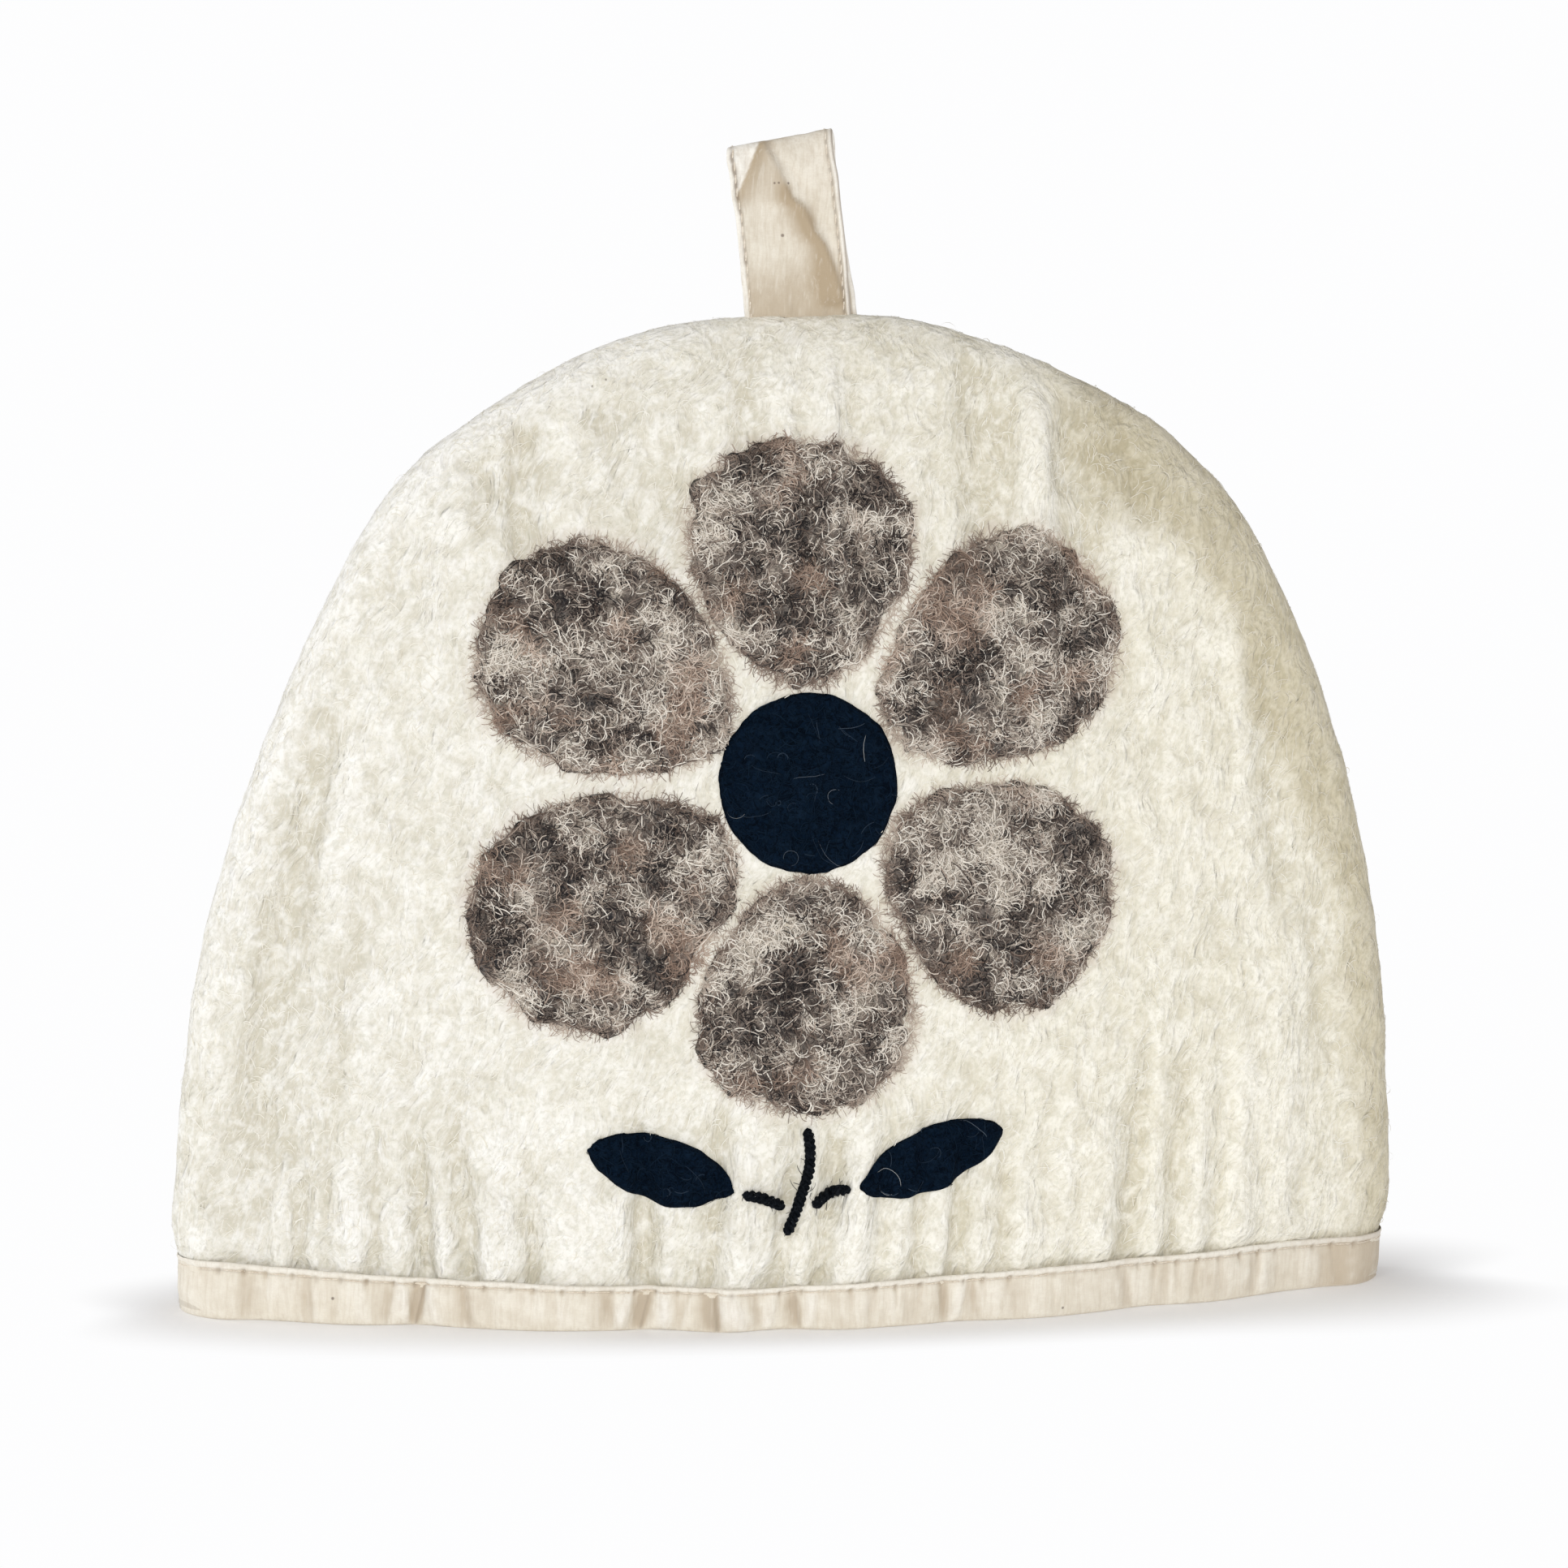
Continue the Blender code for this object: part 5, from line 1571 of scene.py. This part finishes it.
def build_loop(material, thread):
    """The folded tape as one closed sheet with creases and stitched edges."""
    rows, length = smooth_path(LOOP_ROWS, LOOP_ALONG)
    run = unit(np.gradient(rows, axis=0))
    normal = np.stack([-run[:, 1], run[:, 0]], axis=1)
    columns = loop_columns()
    across = len(columns)
    x, grid_row = (grid.ravel() for grid in np.meshgrid(columns, np.arange(LOOP_ALONG + 1)))
    y, height = rows[grid_row].T
    front = grid_row < LOOP_ALONG / 2
    fade = smooth_step((height + 2.0) / 3.0) * smooth_step((48.5 - height) / 3.0)
    relief = loop_relief(x, height, front) * fade
    flat = np.stack([x, y * 3.0, height], axis=1)
    relief += 0.16 * noise(flat * np.array([1.0, 1.0, 0.35]), 3.2, 141.0) + 0.24 * noise(flat, 9.0, 142.0) * fade
    seams = [bell((x - seam) / 0.45) for seam in LOOP_SEAMS]
    relief -= 0.30 * (seams[0] + seams[1]) * fade
    low, pale, hole = loop_looks(x, height, relief, front)
    edge_share = np.abs(x) / LOOP_HALF_WIDTH
    wavy = 0.22 * noise_line(height + 80.0 * front, 7.0, 143.0) * edge_share**3 * np.sign(x)
    wavy = wavy + loop_skew(grid_row / LOOP_ALONG)
    outward = normal[grid_row]
    edge = np.clip((edge_share - 0.955) / 0.045, 0.0, 1.0)
    half = np.maximum(LOOP_THICKNESS / 2 * np.sqrt(np.maximum(0.0, 1.0 - edge**3)), 0.02)
    sheets = []
    for facing in (1.0, -1.0):
        shift = -relief + facing * half
        lifted = height + loop_raised(x, height) + outward[:, 1] * shift
        sheets.append(np.stack([x + wavy, y + outward[:, 0] * shift, lifted], axis=1))
    count = len(x)
    quads = grid_quads(across, LOOP_ALONG + 1)
    faces = [quads, quads[:, ::-1] + count]
    left = np.arange(LOOP_ALONG + 1) * across
    foot = np.arange(across)
    edges = ((left, False), (left + across - 1, True), (foot, True), (foot + LOOP_ALONG * across, False))
    for line, flip in edges:
        wall = np.stack([line[:-1], line[1:], line[1:] + count, line[:-1] + count], axis=1)
        faces.append(wall[:, ::-1] if flip else wall)
    matrix = loop_placement()
    placed = np.concatenate(sheets) @ matrix[:3, :3].T + matrix[:3, 3]
    values = {"low": np.tile(low, 2), "pale": np.tile(pale, 2), "hole": np.tile(hole, 2)}
    obj = make_mesh("loop_tape", placed, faces, material, True, values)
    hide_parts("hanging_loop")
    loop_stitches(rows, normal, relief.reshape(LOOP_ALONG + 1, across), columns, matrix, thread)


def loop_stitches(rows, normal, relief, columns, matrix, material):
    """A row of stitches near each long edge of the tape, on its outer face."""
    reached = arc(rows)
    rng = np.random.default_rng(151)
    share = np.linspace(0, 1, 7)
    stitches = []
    for seam in LOOP_SEAMS:
        column = int(np.argmin(np.abs(columns - seam)))
        for start in np.arange(6.0, reached[-1] - 8.0, LOOP_STITCH_PITCH):
            where = start + LOOP_STITCH_LENGTH * share
            y, height = picked(where, reached, rows).T
            ny, nz = picked(where, reached, normal).T
            bulge = np.interp(where, reached, relief[:, column])
            out = -bulge + 0.44 + 0.24 * np.sin(np.pi * share) ** 0.5
            slant = rng.uniform(-0.10, 0.10) + 0.34 * (share - 0.5)
            lifted = height + loop_raised(seam, height) + nz * out
            centre = np.stack([seam + slant + loop_skew(where / reached[-1]), y + ny * out, lifted], axis=1)
            stitches.append(stitch(centre, np.stack([0 * y, ny, nz], axis=1), share, 0.21))
    points, quads = joined(stitches)
    placed = points @ matrix[:3, :3].T + matrix[:3, 3]
    make_mesh("loop_stitches", placed, [quads], material)


# ---------------------------------------------------------------- floor, light and view
def build_floor(material):
    mesh = bpy.data.meshes.new("floor")
    size = 4.0
    corners = [(-size, -size, 0.0), (size, -size, 0.0), (size, size, 0.0), (-size, size, 0.0)]
    mesh.from_pydata(corners, [], [(0, 1, 2, 3)])
    mesh.materials.append(material)
    obj = add_object("floor", mesh)


# Where the lights aim, and how wide they are, in metres
LIGHT_AIM = (0.0, 0.0, 0.13)
LIGHT_SIZE = 1.2


def add_light(name, place, power, colour):
    data = bpy.data.lights.new(name, "AREA")
    data.shape = "DISK"
    data.size = LIGHT_SIZE
    data.energy = power
    data.color = colour
    light = add_object(name, data)
    light.location = place
    aim = Vector(LIGHT_AIM) - Vector(place)
    light.rotation_euler = aim.to_track_quat("-Z", "Y").to_euler()


def build_world():
    """White behind everything, and a softer glow as light."""
    world = bpy.data.worlds.new("studio")
    bpy.context.scene.world = world
    world.use_nodes = True
    tree = world.node_tree
    glow = tree.nodes["Background"]
    glow.inputs["Color"].default_value = (1.0, 0.98, 0.99, 1.0)
    glow.inputs["Strength"].default_value = 0.355
    backdrop = tree.nodes.new("ShaderNodeBackground")
    backdrop.inputs["Color"].default_value = (0.985, 0.985, 0.99, 1.0)
    seen = tree.nodes.new("ShaderNodeLightPath")
    choose = tree.nodes.new("ShaderNodeMixShader")
    tree.links.new(seen.outputs["Is Camera Ray"], choose.inputs[0])
    tree.links.new(glow.outputs[0], choose.inputs[1])
    tree.links.new(backdrop.outputs[0], choose.inputs[2])
    tree.links.new(choose.outputs[0], tree.nodes["World Output"].inputs["Surface"])


def set_light():
    build_world()
    add_light("rim", (-3.9, 1.2, 1.6), 42.0, (1.0, 1.0, 1.0))
    add_light("key", (-2.7, -2.9, 2.4), 18.5, (0.95, 1.0, 1.0))
    add_light("front", (-0.5, -3.6, 1.2), 59.0, (1.0, 0.965, 0.91))
    settings = bpy.context.scene.view_settings
    settings.view_transform = "Standard"
    settings.look = "None"
    settings.exposure = 0.0
    settings.gamma = 1.0


def main():
    felt = felt_paint()
    felt_fibre = felt_fibre_paint()
    fleece = fleece_paint()
    fleece_fibre = fleece_fibre_paint()
    navy = navy_paint()
    navy_fibre = navy_fibre_paint()
    yarn = yarn_paint()
    thread = thread_paint()
    binding = cotton_paint(
        "cotton_binding", (0.885, 0.848, 0.755), (0.84, 0.795, 0.69), (0.56, 0.475, 0.365), BINDING_SPECKS
    )
    tape = cotton_paint(
        "cotton_tape", (0.835, 0.79, 0.70), (0.775, 0.73, 0.635), (0.455, 0.365, 0.255), LOOP_SPECKS
    )
    hood, outer, quads = build_hood(felt)
    felt_fibres(outer, quads, felt_fibre)
    front = (outer, quads[: len(quads) // 2])
    fleece_tops, felt_tops = build_flower(fleece, navy)
    fleece_fibres(fleece_tops, front, fleece_fibre)
    navy_fibres(felt_tops, front, navy_fibre)
    yarns = [build_yarn(name, places, yarn) for name, places in YARN_LINES.items()]
    yarn_fuzz(yarns, front, navy_fibre)
    build_binding(binding, thread)
    build_loop(tape, thread)
    build_floor(floor_paint())
    set_light()


main()
